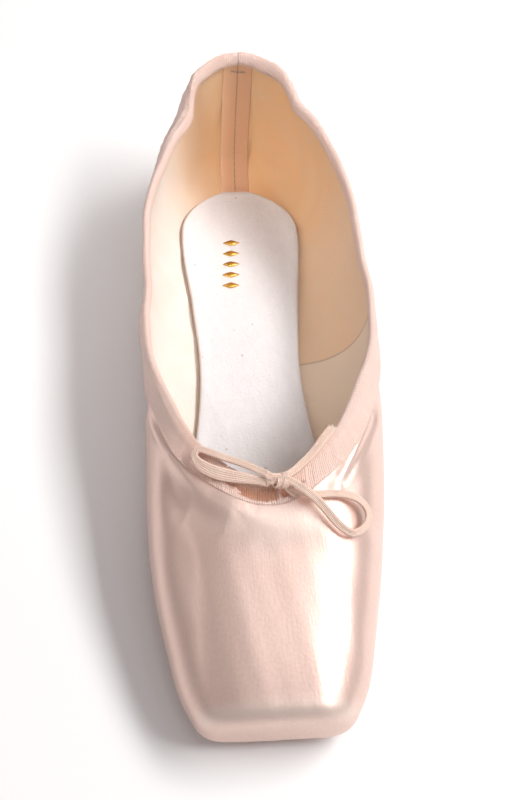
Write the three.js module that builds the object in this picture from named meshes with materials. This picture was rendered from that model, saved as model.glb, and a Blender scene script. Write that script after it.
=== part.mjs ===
// A satin pointe shoe, standing empty on its sole.
//
// Frame: millimetres, +Z up. The toe platform faces -Y and the heel is at +Y. The origin is on the
// floor under the middle of the shoe, so a place "along" the shoe, counted from the platform,
// has y = along - LENGTH / 2. The shoe is built round one last: every wall, edge and band is the
// same last, grown or shrunk, so that the pieces nest.

import * as THREE from 'three';

// ---------------------------------------------------------------- driving dimensions (mm)

const LENGTH = 240;            // platform to the back of the heel
const CENTRE_X = 2.4;          // middle of the finished shoe, which leans to one side
const CENTRE_Y = 0.3;
const FIT_GAP = 0.3;           // clearance between pieces that touch
const BOX_WALL = 3.0;          // pasted layers of the toe box
const QUARTER_WALL = 1.6;      // satin and lining behind the box
const BOX_WALL_ENDS = 62;      // along: the wall starts to thin here
const QUARTER_WALL_STARTS = 108;
const PLATFORM_EDGE = 5.0;     // rounding where the platform turns into the vamp and the sides
const SOLE_THICKNESS = 3.0;
const FLAT_DEPTH = 0.3;        // how much of the sole's low spots is worn flat
const SOCK_THICKNESS = 2.2;
const BINDING_WIDTH = 7.5;     // the band round the collar, outside
const BINDING_TURN = 4.0;      // what the band shows inside
const BINDING_WALL = 0.9;
const TAPE_WIDTH = 2.6;        // the drawstring
const TAPE_WALL = 1.4;

// Heel: the outline closes with a rounded end that starts here.
const HEEL_STARTS = 180;
const HEEL_POWER = 2.6;
const HEEL_EDGE = 14;          // rounding where the heel turns under
const UNDERSIDE_POWER = 4;     // how square the section is under its widest line
const LEAN_FROM = 3;           // height where the sideways lean starts
const LEAN_HEIGHT = 30;        // and the height over which it grows to its full size

// Sections of the last, from the platform to the heel. half: half width; widest, base, ridge:
// heights of the widest line, the underside and the closed top; tuck and crown: how full the
// section is below and above its widest line.
const SECTIONS = [
  { along: 0, half: 23.5, widest: 13.5, base: 4.2, ridge: 27, tuck: 3.8, crown: 2.6 },
  { along: 12, half: 29.5, widest: 13.5, base: 3.7, ridge: 31, tuck: 3.6, crown: 2.6 },
  { along: 30, half: 34.0, widest: 14.0, base: 3.3, ridge: 36, tuck: 4.0, crown: 2.7 },
  { along: 50, half: 37.5, widest: 15.5, base: 3.3, ridge: 41, tuck: 4.0, crown: 2.8 },
  { along: 72, half: 39.5, widest: 18.0, base: 3.3, ridge: 47.5, tuck: 3.8, crown: 2.8 },
  { along: 95, half: 40.0, widest: 22.0, base: 3.6, ridge: 51, tuck: 3.2, crown: 2.7 },
  { along: 118, half: 40.3, widest: 28.0, base: 4.8, ridge: 54.5, tuck: 2.4, crown: 2.6 },
  { along: 142, half: 40.2, widest: 32.0, base: 6.0, ridge: 63, tuck: 2.0, crown: 2.4 },
  { along: 165, half: 38.6, widest: 33.5, base: 5.5, ridge: 76, tuck: 1.9, crown: 2.3 },
  { along: 188, half: 37.4, widest: 34.0, base: 3.9, ridge: 86, tuck: 1.9, crown: 2.3 },
  { along: 206, half: 34.8, widest: 32.0, base: 3.3, ridge: 84, tuck: 1.9, crown: 2.2 },
  { along: 240, half: 31.5, widest: 31.0, base: 3.3, ridge: 84, tuck: 1.9, crown: 2.2 },
];

// The slack upper leans a little to one side above the sole.
const LEAN = [
  { along: 0, shift: 0 },
  { along: 50, shift: 0.3 },
  { along: 95, shift: 2.6 },
  { along: 142, shift: 2.4 },
  { along: 190, shift: 1.6 },
  { along: 240, shift: -0.5 },
];

// Back of the heel, as a scale of the rear half at each height.
const HEEL_BACK = [
  { height: 3, scale: 0.975 },
  { height: 12, scale: 0.99 },
  { height: 26, scale: 1.0 },
  { height: 42, scale: 1.0 },
  { height: 60, scale: 0.995 },
];

// Ribs run from the opening in the underside (edge), round the side, to the collar. turn: 0 at
// the middle of the toe, 1 at the middle of the heel; spine: where on the axis a rib is centred.
const RIBS = [
  { turn: 0.00, collarX: 0, collarAlong: 73, collarZ: 48, side: 0, edgeX: 0, edgeAlong: 30, spine: 56 },
  { turn: 0.08, collarX: 7.5, collarAlong: 74.5, collarZ: 48, side: 0, edgeX: 7, edgeAlong: 31, spine: 56 },
  { turn: 0.16, collarX: 15, collarAlong: 79.5, collarZ: 48, side: 0, edgeX: 14, edgeAlong: 36, spine: 58 },
  { turn: 0.24, collarX: 21.5, collarAlong: 87, collarZ: 47, side: 25, edgeX: 18.5, edgeAlong: 46, spine: 62 },
  { turn: 0.32, collarX: 27, collarAlong: 96, collarZ: 47, side: 52, edgeX: 19, edgeAlong: 60, spine: 70 },
  { turn: 0.42, collarX: 32.5, collarAlong: 110, collarZ: 45, side: 88, edgeX: 17, edgeAlong: 85, spine: 88 },
  { turn: 0.52, collarX: 37.5, collarAlong: 125, collarZ: 43, side: 120, edgeX: 14, edgeAlong: 112, spine: 116 },
  { turn: 0.64, collarX: 40, collarAlong: 150, collarZ: 42.5, side: 150, edgeX: 11, edgeAlong: 146, spine: 146 },
  { turn: 0.76, collarX: 37.5, collarAlong: 188, collarZ: 47, side: 188, edgeX: 13, edgeAlong: 180, spine: 180 },
  { turn: 0.85, collarX: 29, collarAlong: 214, collarZ: 56.5, side: 212, edgeX: 13, edgeAlong: 199, spine: 196 },
  { turn: 0.92, collarX: 18.5, collarAlong: 230.5, collarZ: 62.5, side: 229, edgeX: 8.5, edgeAlong: 208, spine: 202 },
  { turn: 1.00, collarX: 0, collarAlong: 238, collarZ: 64.5, side: 239, edgeX: 0, edgeAlong: 212, spine: 203 },
];
// The ribs of one side, and one more past each end so that the two sides join smoothly.
const mirrored = (rib, turn) => ({ ...rib, turn, collarX: -rib.collarX, edgeX: -rib.edgeX });
const HALF_ROUND = [
  mirrored(RIBS[1], -RIBS[1].turn),
  ...RIBS,
  mirrored(RIBS[RIBS.length - 2], 2 - RIBS[RIBS.length - 2].turn),
];
const FAN_TURN = 0.24;         // ribs before this turn fan out over the platform
const SIDE_PULL = 1.3;         // how strongly a rib is drawn out to the widest line
const BELOW_WIDEST = 2;        // ribs aim just under the widest line

// Height of the ribs' centres along the axis.
const SPINE = [
  { along: 0, height: 14 },
  { along: 58, height: 16 },
  { along: 92, height: 20 },
  { along: 120, height: 24 },
  { along: 240, height: 26 },
];

// Outlines of the two flat pieces: half width at each place along the shoe.
const OUTSOLE_START = 26;
const OUTSOLE_END = 221;
const OUTSOLE = [
  { along: 26, half: 20 },
  { along: 48, half: 24 },
  { along: 76, half: 26 },
  { along: 105, half: 21 },
  { along: 140, half: 15 },
  { along: 170, half: 16.5 },
  { along: 200, half: 20 },
  { along: 221, half: 20 },
];
const SOCK_START = 14;
const SOCK_END = 222;
const SOCK = [
  { along: 14, half: 24 },
  { along: 40, half: 28 },
  { along: 72, half: 30 },
  { along: 105, half: 22 },
  { along: 136, half: 18.5 },
  { along: 165, half: 20 },
  { along: 196, half: 22.5 },
  { along: 222, half: 20 },
];
const TIP_ROUND = 24;          // length of the rounded front end of both
const SEAT_ROUND = 22;         // and of the rounded back end

// Drawstring: hand-chosen points of each run, [x, y, z].
const LOOP_LEFT = [
  [0.2, -50.0, 50.6], [-3.0, -48.9, 50.6], [-8.9, -47.4, 50.3], [-15.3, -45.5, 49.9],
  [-19.3, -43.4, 49.6], [-21.9, -40.9, 49.3], [-23.0, -38.3, 49.3], [-21.4, -36.5, 49.9],
  [-17.6, -38.3, 50.7], [-13.6, -40.5, 51.2], [-8.4, -42.9, 51.7], [-3.6, -45.7, 52.3],
  [-0.2, -48.0, 52.9],
];
const LOOP_RIGHT = [
  [7.3, -51.3, 49.9], [12.7, -53.5, 49.1], [16.2, -53.6, 48.7], [20.5, -53.2, 48.0],
  [24.7, -53.2, 46.9], [28.4, -54.0, 45.4], [31.0, -55.8, 43.5], [32.0, -58.4, 42.1],
  [30.9, -61.5, 41.6], [28.7, -63.8, 42.0], [26.1, -64.8, 42.8], [23.4, -63.8, 44.0],
  [20.6, -61.5, 45.6], [17.5, -58.2, 47.8], [14.3, -55.7, 50.8], [11.2, -53.6, 52.4],
  [7.8, -51.0, 52.6],
];
const FREE_END = [
  [7.0, -47.2, 51.6], [8.6, -46.1, 51.6], [10.2, -44.6, 51.5], [13.6, -41.4, 51.4],
  [16.8, -37.6, 51.6], [19.3, -34.4, 51.6], [21.5, -31.6, 51.6],
];
const KNOT_CENTRE = [3.7, -49.9, 51.5];
const KNOT_SIZE = [5.4, 7.6, 4.8];

// Mesh fineness.
const RIB_COUNT = 76;
const RIB_STEPS = 20;
const TRACE_STEPS = 160;       // fine steps used to measure a rib
const BEND_WEIGHT = 14;        // extra rib points where it turns
const HALVINGS = 28;           // bisection steps of one reach
const FAR = 150;               // a reach starts from here
const TAPE_SIDES = 8;
const TAPE_STEP = 3;
const KNOT_SIDES = 14;
const KNOT_RINGS = 10;
const PLATE_STEPS = 32;
const PLATE_ACROSS = 8;
const PLATE_END = 0.35;        // how far the first and last rows of a plate stay from its tips

// ---------------------------------------------------------------- the last

const MIDDLE = LENGTH / 2;
const clamp = (value, low, high) => Math.min(high, Math.max(low, value));

// Smooth value of one column of a table, at a place in its key column.
function smooth(rows, key, column, at) {
  const place = clamp(at, rows[0][key], rows[rows.length - 1][key]);
  const slope = (i) => (rows[i + 1][column] - rows[i][column]) / (rows[i + 1][key] - rows[i][key]);
  const tangent = (i) => {
    if (i === 0) return slope(0);
    if (i === rows.length - 1) return slope(i - 1);
    const before = rows[i][key] - rows[i - 1][key];
    const after = rows[i + 1][key] - rows[i][key];
    return (slope(i - 1) * after + slope(i) * before) / (before + after);
  };
  let i = 0;
  while (i < rows.length - 2 && place >= rows[i + 1][key]) i += 1;
  const step = rows[i + 1][key] - rows[i][key];
  const t = (place - rows[i][key]) / step;
  return (2 * t ** 3 - 3 * t ** 2 + 1) * rows[i][column]
    + (t ** 3 - 2 * t ** 2 + t) * step * tangent(i)
    + (-2 * t ** 3 + 3 * t ** 2) * rows[i + 1][column]
    + (t ** 3 - t ** 2) * step * tangent(i + 1);
}

// Half width of the last's widest line, closed at the heel by a rounded end.
function widestHalf(along) {
  const close = clamp((along - HEEL_STARTS) / (LENGTH - HEEL_STARTS), 0, 1);
  const open = Math.max(0, 1 - close ** HEEL_POWER) ** (1 / HEEL_POWER);
  return smooth(SECTIONS, 'along', 'half', along) * open;
}

// What a rounded edge of some radius takes off a section, at a distance from the end.
function roundedEdge(radius, distance) {
  const into = clamp((radius - distance) / radius, 0, 1);
  return radius * (1 - Math.sqrt(1 - into * into));
}

// Is a point inside the last, grown by some millimetres (or shrunk, when grow is negative)?
function isInside(point, grow) {
  let along = MIDDLE + point.y * MIDDLE / (MIDDLE + grow);
  if (along > MIDDLE) {
    along = MIDDLE + (along - MIDDLE) / smooth(HEEL_BACK, 'height', 'scale', point.z);
  }
  if (along < 0 || along > LENGTH) return false;
  const at = (column) => smooth(SECTIONS, 'along', column, along);
  const edge = roundedEdge(PLATFORM_EDGE, along);
  const base = at('base') + edge + roundedEdge(HEEL_EDGE, LENGTH - along);
  const half = Math.max(widestHalf(along) - edge + grow, 0.001);
  const lean = smooth(LEAN, 'along', 'shift', along) * clamp((point.z - LEAN_FROM) / LEAN_HEIGHT, 0, 1);
  const widest = at('widest');
  const above = point.z > widest;
  const height = (above ? at('ridge') - edge - widest : widest - base) + grow;
  const powerX = above ? at('crown') : UNDERSIDE_POWER;
  const powerZ = above ? at('crown') : at('tuck');
  return (Math.abs(point.x - lean) / half) ** powerX + (Math.abs(point.z - widest) / height) ** powerZ <= 1;
}

// Where a line from inside the last meets its surface.
function reach(origin, direction, grow) {
  let low = 0;
  let high = FAR;
  const point = new THREE.Vector3();
  for (let i = 0; i < HALVINGS; i += 1) {
    const middle = (low + high) / 2;
    point.copy(origin).addScaledVector(direction, middle);
    if (isInside(point, grow)) low = middle;
    else high = middle;
  }
  return new THREE.Vector3().copy(origin).addScaledVector(direction, low);
}

// Wall thickness: thick in the toe box, thin in the quarters.
function wallAt(along) {
  const t = clamp((along - BOX_WALL_ENDS) / (QUARTER_WALL_STARTS - BOX_WALL_ENDS), 0, 1);
  return BOX_WALL + (QUARTER_WALL - BOX_WALL) * t * t * (3 - 2 * t);
}

// ---------------------------------------------------------------- ribs over the last

// One rib: its centre and the direction in which it looks at each fraction of its way.
function ribAt(loop) {
  const turn = loop <= 0.5 ? loop * 2 : (1 - loop) * 2;
  const side = loop <= 0.5 ? 1 : -1;
  const at = (column) => smooth(HALF_ROUND, 'turn', column, turn);
  const spine = at('spine');
  const centre = new THREE.Vector3(0, spine - MIDDLE, smooth(SPINE, 'along', 'height', spine));
  const out = at('side');
  const fan = clamp(turn / FAN_TURN, 0, 1);
  const edge = new THREE.Vector3(at('edgeX') * side, at('edgeAlong') - MIDDLE, 4);
  const widest = smooth(SECTIONS, 'along', 'widest', out) - BELOW_WIDEST;
  const sideways = new THREE.Vector3(widestHalf(out) * fan * side, out - MIDDLE, widest);
  const collar = new THREE.Vector3(at('collarX') * side, at('collarAlong') - MIDDLE, at('collarZ'));
  const aims = [edge, sideways, collar].map((aim) => aim.sub(centre).normalize());
  const direction = (v) => new THREE.Vector3()
    .addScaledVector(aims[0], (1 - v) ** 2)
    .addScaledVector(aims[1], 2 * v * (1 - v) * SIDE_PULL)
    .addScaledVector(aims[2], v ** 2)
    .normalize();
  return { centre, direction };
}

// Measures a rib on the last's outside: fractions for evenly spread points, closer where it
// turns, and fractions at given lengths from the collar.
function measureRib(rib) {
  const trace = [];
  for (let i = 0; i <= TRACE_STEPS; i += 1) {
    trace.push(reach(rib.centre, rib.direction(i / TRACE_STEPS), 0));
  }
  const length = [0];
  const weight = [0];
  for (let i = 1; i <= TRACE_STEPS; i += 1) {
    const run = trace[i].clone().sub(trace[i - 1]);
    let bend = 0;
    if (i < TRACE_STEPS) bend = run.angleTo(trace[i + 1].clone().sub(trace[i]));
    length.push(length[i - 1] + run.length());
    weight.push(weight[i - 1] + run.length() + BEND_WEIGHT * bend);
  }
  const find = (sums, value) => {
    let i = 1;
    while (i < TRACE_STEPS && sums[i] < value) i += 1;
    return (i - 1 + (value - sums[i - 1]) / (sums[i] - sums[i - 1])) / TRACE_STEPS;
  };
  return {
    spread: (fraction) => find(weight, weight[TRACE_STEPS] * fraction),
    fromCollar: (distance) => find(length, length[TRACE_STEPS] - distance),
  };
}

const ribs = Array.from({ length: RIB_COUNT }, (_, i) => {
  const rib = ribAt(i / RIB_COUNT);
  return { ...rib, ...measureRib(rib) };
});

// ---------------------------------------------------------------- solids

// A closed body from a ring of closed profiles, each with the same number of points.
function ringBody(profiles) {
  const count = profiles[0].length;
  const positions = profiles.flat().flatMap((point) => [point.x, point.y, point.z]);
  const triangles = [];
  for (let i = 0; i < profiles.length; i += 1) {
    const next = (i + 1) % profiles.length;
    for (let j = 0; j < count; j += 1) {
      const up = (j + 1) % count;
      const [a, b, c, d] = [i * count + j, next * count + j, next * count + up, i * count + up];
      triangles.push(a, b, c, a, c, d);
    }
  }
  return bodyFrom(positions, triangles);
}

function bodyFrom(positions, triangles) {
  const geometry = new THREE.BufferGeometry();
  geometry.setAttribute('position', new THREE.Float32BufferAttribute(positions, 3));
  geometry.setIndex(triangles);
  geometry.computeVertexNormals();
  return geometry;
}

// The upper: out along the last's outside from the sole opening to the collar, and back inside.
function upperGeometry() {
  return ringBody(ribs.map((rib) => {
    const outside = [];
    const inside = [];
    for (let j = 0; j <= RIB_STEPS; j += 1) {
      const direction = rib.direction(rib.spread(j / RIB_STEPS));
      const outer = reach(rib.centre, direction, 0);
      outside.push(outer);
      inside.push(reach(rib.centre, direction, -wallAt(outer.y + MIDDLE)));
    }
    return [...outside, ...inside.reverse()];
  }));
}

// The collar binding: a folded band over the upper's edge, a gap away from it all round.
function bindingGeometry() {
  const near = FIT_GAP;
  const far = FIT_GAP + BINDING_WALL;
  return ringBody(ribs.map((rib) => {
    const wall = wallAt(reach(rib.centre, rib.direction(1), 0).y + MIDDLE);
    const perMillimetre = 1 - rib.fromCollar(1);
    const at = (distance, grow) => {
      const fraction = distance >= 0 ? rib.fromCollar(distance) : 1 - distance * perMillimetre;
      return reach(rib.centre, rib.direction(fraction), grow);
    };
    return [
      at(BINDING_WIDTH, far), at(BINDING_WIDTH / 2, far), at(0, far),
      at(-far, 0), at(-far, -wall),
      at(0, -wall - far), at(BINDING_TURN, -wall - far),
      at(BINDING_TURN, -wall - near), at(0, -wall - near),
      at(-near, -wall - near), at(-near, near),
      at(0, near), at(BINDING_WIDTH / 2, near), at(BINDING_WIDTH, near),
    ];
  }));
}

// Height of the last's underside, shrunk by some millimetres, at a place off the axis.
function undersideAt(x, along, shrink) {
  const behind = Math.max(0, along - MIDDLE);
  const section = along + behind * (1 / HEEL_BACK[0].scale - 1) + shrink * behind / MIDDLE;
  const at = (column) => smooth(SECTIONS, 'along', column, section);
  const half = Math.max(widestHalf(section) - shrink, 1);
  const height = at('widest') - at('base') - roundedEdge(HEEL_EDGE, LENGTH - section) - shrink;
  const out = Math.min(Math.abs(x) / half, 0.98);
  return at('widest') - height * (1 - out ** UNDERSIDE_POWER) ** (1 / at('tuck'));
}

// Outline of a flat piece: its half width, rounded at both ends.
function plateHalf(rows, start, end, along) {
  const front = clamp((start + TIP_ROUND - along) / TIP_ROUND, 0, 1);
  const back = clamp((along - end + SEAT_ROUND) / SEAT_ROUND, 0, 1);
  const round = Math.sqrt(Math.max(0, 1 - front ** 2)) * Math.sqrt(Math.max(0, 1 - back ** 2));
  return smooth(rows, 'along', 'half', along) * round;
}

// A thin plate between two height functions, from one rounded end to the other.
function plateGeometry({ rows, start, end, top, bottom }) {
  const steps = PLATE_STEPS;
  const across = PLATE_ACROSS;
  const positions = [];
  const triangles = [];
  const columns = across + 1;
  for (let i = 0; i <= steps; i += 1) {
    const eased = (1 - Math.cos(Math.PI * (i + PLATE_END) / (steps + 2 * PLATE_END))) / 2;
    const along = start + (end - start) * eased;
    const half = plateHalf(rows, start, end, along);
    for (const heightAt of [top, bottom]) {
      for (let j = 0; j <= across; j += 1) {
        const x = half * (2 * j / across - 1);
        positions.push(x, along - MIDDLE, heightAt(x, along));
      }
    }
  }
  const index = (i, layer, j) => (i * 2 + layer) * columns + j;
  const quad = (a, b, c, d) => triangles.push(a, b, c, a, c, d);
  for (let i = 0; i < steps; i += 1) {
    for (let j = 0; j < across; j += 1) {
      quad(index(i, 0, j), index(i, 0, j + 1), index(i + 1, 0, j + 1), index(i + 1, 0, j));
      quad(index(i, 1, j), index(i + 1, 1, j), index(i + 1, 1, j + 1), index(i, 1, j + 1));
    }
    quad(index(i, 0, 0), index(i + 1, 0, 0), index(i + 1, 1, 0), index(i, 1, 0));
    quad(index(i, 0, across), index(i, 1, across), index(i + 1, 1, across), index(i + 1, 0, across));
  }
  for (let j = 0; j < across; j += 1) {
    quad(index(0, 0, j), index(0, 1, j), index(0, 1, j + 1), index(0, 0, j + 1));
    quad(index(steps, 0, j), index(steps, 0, j + 1), index(steps, 1, j + 1), index(steps, 1, j));
  }
  return bodyFrom(positions, triangles);
}

// The outsole lies a gap under the upper; its two low spots, ball and seat, are flat on the floor.
function outsoleGeometry() {
  const top = (x, along) => undersideAt(x, along, 0) - FIT_GAP;
  const bottom = (x, along) => {
    const height = top(x, along) - SOLE_THICKNESS;
    return Math.max(0, height - FLAT_DEPTH);
  };
  return plateGeometry({ rows: OUTSOLE, start: OUTSOLE_START, end: OUTSOLE_END, top, bottom });
}

// The sock lining lies a gap above the upper's turned-in edge.
function sockGeometry() {
  const bottom = (x, along) => undersideAt(x, along, wallAt(along)) + FIT_GAP;
  const top = (x, along) => bottom(x, along) + SOCK_THICKNESS;
  return plateGeometry({ rows: SOCK, start: SOCK_START, end: SOCK_END, top, bottom });
}

// A run of the drawstring: a flat oval section carried along its points.
function tapeGeometry(points) {
  const path = new THREE.CatmullRomCurve3(points.map((point) => new THREE.Vector3(...point)));
  const section = new THREE.Shape();
  section.moveTo(TAPE_WALL / 2, 0);
  for (let i = 1; i < TAPE_SIDES; i += 1) {
    const angle = 2 * Math.PI * i / TAPE_SIDES;
    section.lineTo(TAPE_WALL / 2 * Math.cos(angle), TAPE_WIDTH / 2 * Math.sin(angle));
  }
  const steps = Math.round(path.getLength() / TAPE_STEP);
  return new THREE.ExtrudeGeometry(section, { steps, extrudePath: path });
}

// The knot: a small rounded block where the runs meet.
function knotGeometry() {
  const geometry = new THREE.SphereGeometry(0.5, KNOT_SIDES, KNOT_RINGS);
  geometry.scale(...KNOT_SIZE);
  return geometry.translate(...KNOT_CENTRE);
}

// ---------------------------------------------------------------- assembly

function piece(name, geometry, color, roughness) {
  const material = new THREE.MeshStandardMaterial({ color, roughness, metalness: 0 });
  const mesh = new THREE.Mesh(geometry, material);
  mesh.name = name;
  return mesh;
}

const shoe = new THREE.Group();
shoe.add(piece('outsole', outsoleGeometry(), 0xd9b79a, 0.8));
shoe.add(piece('insole', sockGeometry(), 0xe8e5e4, 0.9));
shoe.add(piece('upper', upperGeometry(), 0xebcfc4, 0.35));
shoe.add(piece('collar_binding', bindingGeometry(), 0xf0d2c6, 0.6));
shoe.add(piece('drawstring_knot', knotGeometry(), 0xe9bda5, 0.6));
shoe.add(piece('drawstring_loop_left', tapeGeometry(LOOP_LEFT), 0xe9bda5, 0.6));
shoe.add(piece('drawstring_loop_right', tapeGeometry(LOOP_RIGHT), 0xe9bda5, 0.6));
shoe.add(piece('drawstring_end', tapeGeometry(FREE_END), 0xe9bda5, 0.6));

shoe.position.set(-CENTRE_X, -CENTRE_Y, 0);

export default shoe;
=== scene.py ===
"""The finished look of a satin pointe shoe, built round its CAD model."""

import math

import bmesh
import bpy
import numpy as np
from bpy.props import FloatProperty, FloatVectorProperty, IntProperty, PointerProperty
from mathutils import Matrix, Vector


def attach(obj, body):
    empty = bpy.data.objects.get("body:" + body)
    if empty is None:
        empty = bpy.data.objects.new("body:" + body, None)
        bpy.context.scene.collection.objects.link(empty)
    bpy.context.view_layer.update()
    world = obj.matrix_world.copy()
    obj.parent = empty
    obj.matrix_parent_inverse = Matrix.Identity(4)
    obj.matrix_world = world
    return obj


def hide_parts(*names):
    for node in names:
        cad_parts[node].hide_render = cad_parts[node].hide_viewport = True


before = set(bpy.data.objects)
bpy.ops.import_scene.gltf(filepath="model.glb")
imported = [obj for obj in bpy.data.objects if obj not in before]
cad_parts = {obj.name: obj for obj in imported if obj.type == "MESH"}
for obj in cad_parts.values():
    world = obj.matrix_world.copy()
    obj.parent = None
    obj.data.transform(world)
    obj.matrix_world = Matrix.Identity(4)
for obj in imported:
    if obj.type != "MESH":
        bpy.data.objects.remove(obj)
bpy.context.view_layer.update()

bl_info = {
    "name": "Pointe Shoe",
    "version": (1, 0, 0),
    "blender": (4, 5, 0),
    "location": "3D View > Sidebar > Pointe Shoe",
    "description": "Builds the satin, lining, binding, bow, sock and sole of a pointe shoe",
    "category": "Add Mesh",
}

# ---------------------------------------------------------------- the last (millimetres)
#
# The shoe's own frame: "along" is counted from the platform to the heel, so y = along - MIDDLE.
# The finished shoe is moved by CENTRE, so that its box stands over the origin.

MM = 0.001
CENTRE = (2.4, 0.3)
LENGTH = 240.0
MIDDLE = LENGTH / 2
FIT_GAP = 0.3
BOX_WALL = 3.0
QUARTER_WALL = 1.6
BOX_WALL_ENDS = 62
QUARTER_WALL_STARTS = 108
PLATFORM_EDGE = 5.0
HEEL_STARTS = 180
HEEL_POWER = 2.6
HEEL_EDGE = 14
UNDERSIDE_POWER = 4
UNDERSIDE_LIMIT = 0.98
LEAN_FROM = 3
LEAN_HEIGHT = 30


def columns(names, rows):
    """A table: one array for each named column."""
    return dict(zip(names.split(), np.array(rows, float).T))


# Cross-sections of the last: half its width, the heights of its widest place, its underside and its
# top, and how square it is below (tuck) and above (crown).
SECTIONS = columns("along half widest base ridge tuck crown", [
    (0, 23.5, 13.5, 4.2, 27, 3.8, 2.6),
    (12, 29.5, 13.5, 3.7, 31, 3.6, 2.6),
    (30, 34.0, 14.0, 3.3, 36, 4.0, 2.7),
    (50, 37.5, 15.5, 3.3, 41, 4.0, 2.8),
    (72, 39.5, 18.0, 3.3, 47.5, 3.8, 2.8),
    (95, 40.0, 22.0, 3.6, 51, 3.2, 2.7),
    (118, 40.3, 28.0, 4.8, 54.5, 2.4, 2.6),
    (142, 40.2, 32.0, 6.0, 63, 2.0, 2.4),
    (165, 38.6, 33.5, 5.5, 76, 1.9, 2.3),
    (188, 37.4, 34.0, 3.9, 86, 1.9, 2.3),
    (206, 34.8, 32.0, 3.3, 84, 1.9, 2.2),
    (240, 31.5, 31.0, 3.3, 84, 1.9, 2.2),
])
# How far the soft upper leans to one side, and how the heel's back curves in with height.
LEAN = columns("along shift", [(0, 0), (50, 0.3), (95, 2.6), (142, 2.4), (190, 1.6), (240, -0.5)])
HEEL_BACK = columns("height scale", [(3, 0.975), (12, 0.99), (26, 1.0), (42, 1.0), (60, 0.995)])
# Ribs over one half of the last: each runs from the sole opening, past the widest place, to the collar,
# seen from a centre on the spine.
RIBS = [
    # turn, collar x, along, height, side along, edge x, along, spine along
    (0.00, 0, 73, 48, 0, 0, 30, 56),
    (0.08, 7.5, 74.5, 48, 0, 7, 31, 56),
    (0.16, 15, 79.5, 48, 0, 14, 36, 58),
    (0.24, 21.5, 87, 47, 25, 18.5, 46, 62),
    (0.32, 27, 96, 47, 52, 19, 60, 70),
    (0.42, 32.5, 110, 45, 88, 17, 85, 88),
    (0.52, 37.5, 125, 43, 120, 14, 112, 116),
    (0.64, 40, 150, 42.5, 150, 11, 146, 146),
    (0.76, 37.5, 188, 47, 188, 13, 180, 180),
    (0.85, 29, 214, 56.5, 212, 13, 199, 196),
    (0.92, 18.5, 230.5, 62.5, 229, 8.5, 208, 202),
    (1.00, 0, 238, 64.5, 239, 0, 212, 203),
]
FIRST, LAST_BUT_ONE = RIBS[1], RIBS[-2]
HALF_ROUND = columns("turn collar_x collar_along collar_z side edge_x edge_along spine", [
    (-FIRST[0], -FIRST[1], *FIRST[2:5], -FIRST[5], *FIRST[6:]),
    *RIBS,
    (2 - LAST_BUT_ONE[0], -LAST_BUT_ONE[1], *LAST_BUT_ONE[2:5], -LAST_BUT_ONE[5], *LAST_BUT_ONE[6:]),
])
FAN_TURN = 0.24
SIDE_PULL = 1.3
BELOW_WIDEST = 2
SPINE = columns("along height", [(0, 14), (58, 16), (92, 20), (120, 24), (240, 26)])
OUTSOLE = columns("along half", [
    (26, 20), (48, 24), (76, 26), (105, 21), (140, 15), (170, 16.5), (200, 20), (221, 20),
])
OUTSOLE_START, OUTSOLE_END = 26, 221
SOCK = columns("along half", [
    (14, 24), (40, 28), (72, 30), (105, 22), (136, 18.5), (165, 20), (196, 22.5), (222, 20),
])
SOCK_START, SOCK_END = 14, 222
TIP_ROUND, SEAT_ROUND = 24, 22
SOLE_THICKNESS = 3.0
SOCK_THICKNESS = 2.2
FLAT_DEPTH = 0.3
HALVINGS = 26
FAR = 150.0
TINY = 1e-9


def smooth(table, key, column, at):
    """Smooth value of one column of a table at places in its key column."""
    xs, ys = table[key], table[column]
    slopes = np.diff(ys) / np.diff(xs)
    steps = np.diff(xs)
    inner = (slopes[:-1] * steps[1:] + slopes[1:] * steps[:-1]) / (steps[:-1] + steps[1:])
    tangents = np.concatenate([slopes[:1], inner, slopes[-1:]])
    place = np.clip(at, xs[0], xs[-1])
    i = np.clip(np.searchsorted(xs, place, side="right") - 1, 0, len(xs) - 2)
    step = steps[i]
    t = (place - xs[i]) / step
    return (
        (2 * t**3 - 3 * t**2 + 1) * ys[i]
        + (t**3 - 2 * t**2 + t) * step * tangents[i]
        + (3 * t**2 - 2 * t**3) * ys[i + 1]
        + (t**3 - t**2) * step * tangents[i + 1]
    )


def section(column, along):
    """One size of the last's cross-section at places along it."""
    return smooth(SECTIONS, "along", column, along)


def ease(low, high, value):
    """0 below low, 1 above high, smooth between."""
    t = np.clip((value - low) / (high - low), 0, 1)
    return t * t * (3 - 2 * t)


def hump(value, centre, width):
    """A soft hump: 1 at its centre, fading to 0 over about twice its width."""
    return np.exp(-(((value - centre) / width) ** 2))


def rounded_edge(radius, distance):
    """How far a rounded edge falls away, at a distance in from it."""
    into = np.clip((radius - distance) / radius, 0, 1)
    return radius * (1 - np.sqrt(1 - into * into))


def widest_half(along):
    """Half the last's width, closed in a round at the heel."""
    close = np.clip((along - HEEL_STARTS) / (LENGTH - HEEL_STARTS), 0, 1)
    return section("half", along) * (1 - close**HEEL_POWER) ** (1 / HEEL_POWER)


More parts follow.
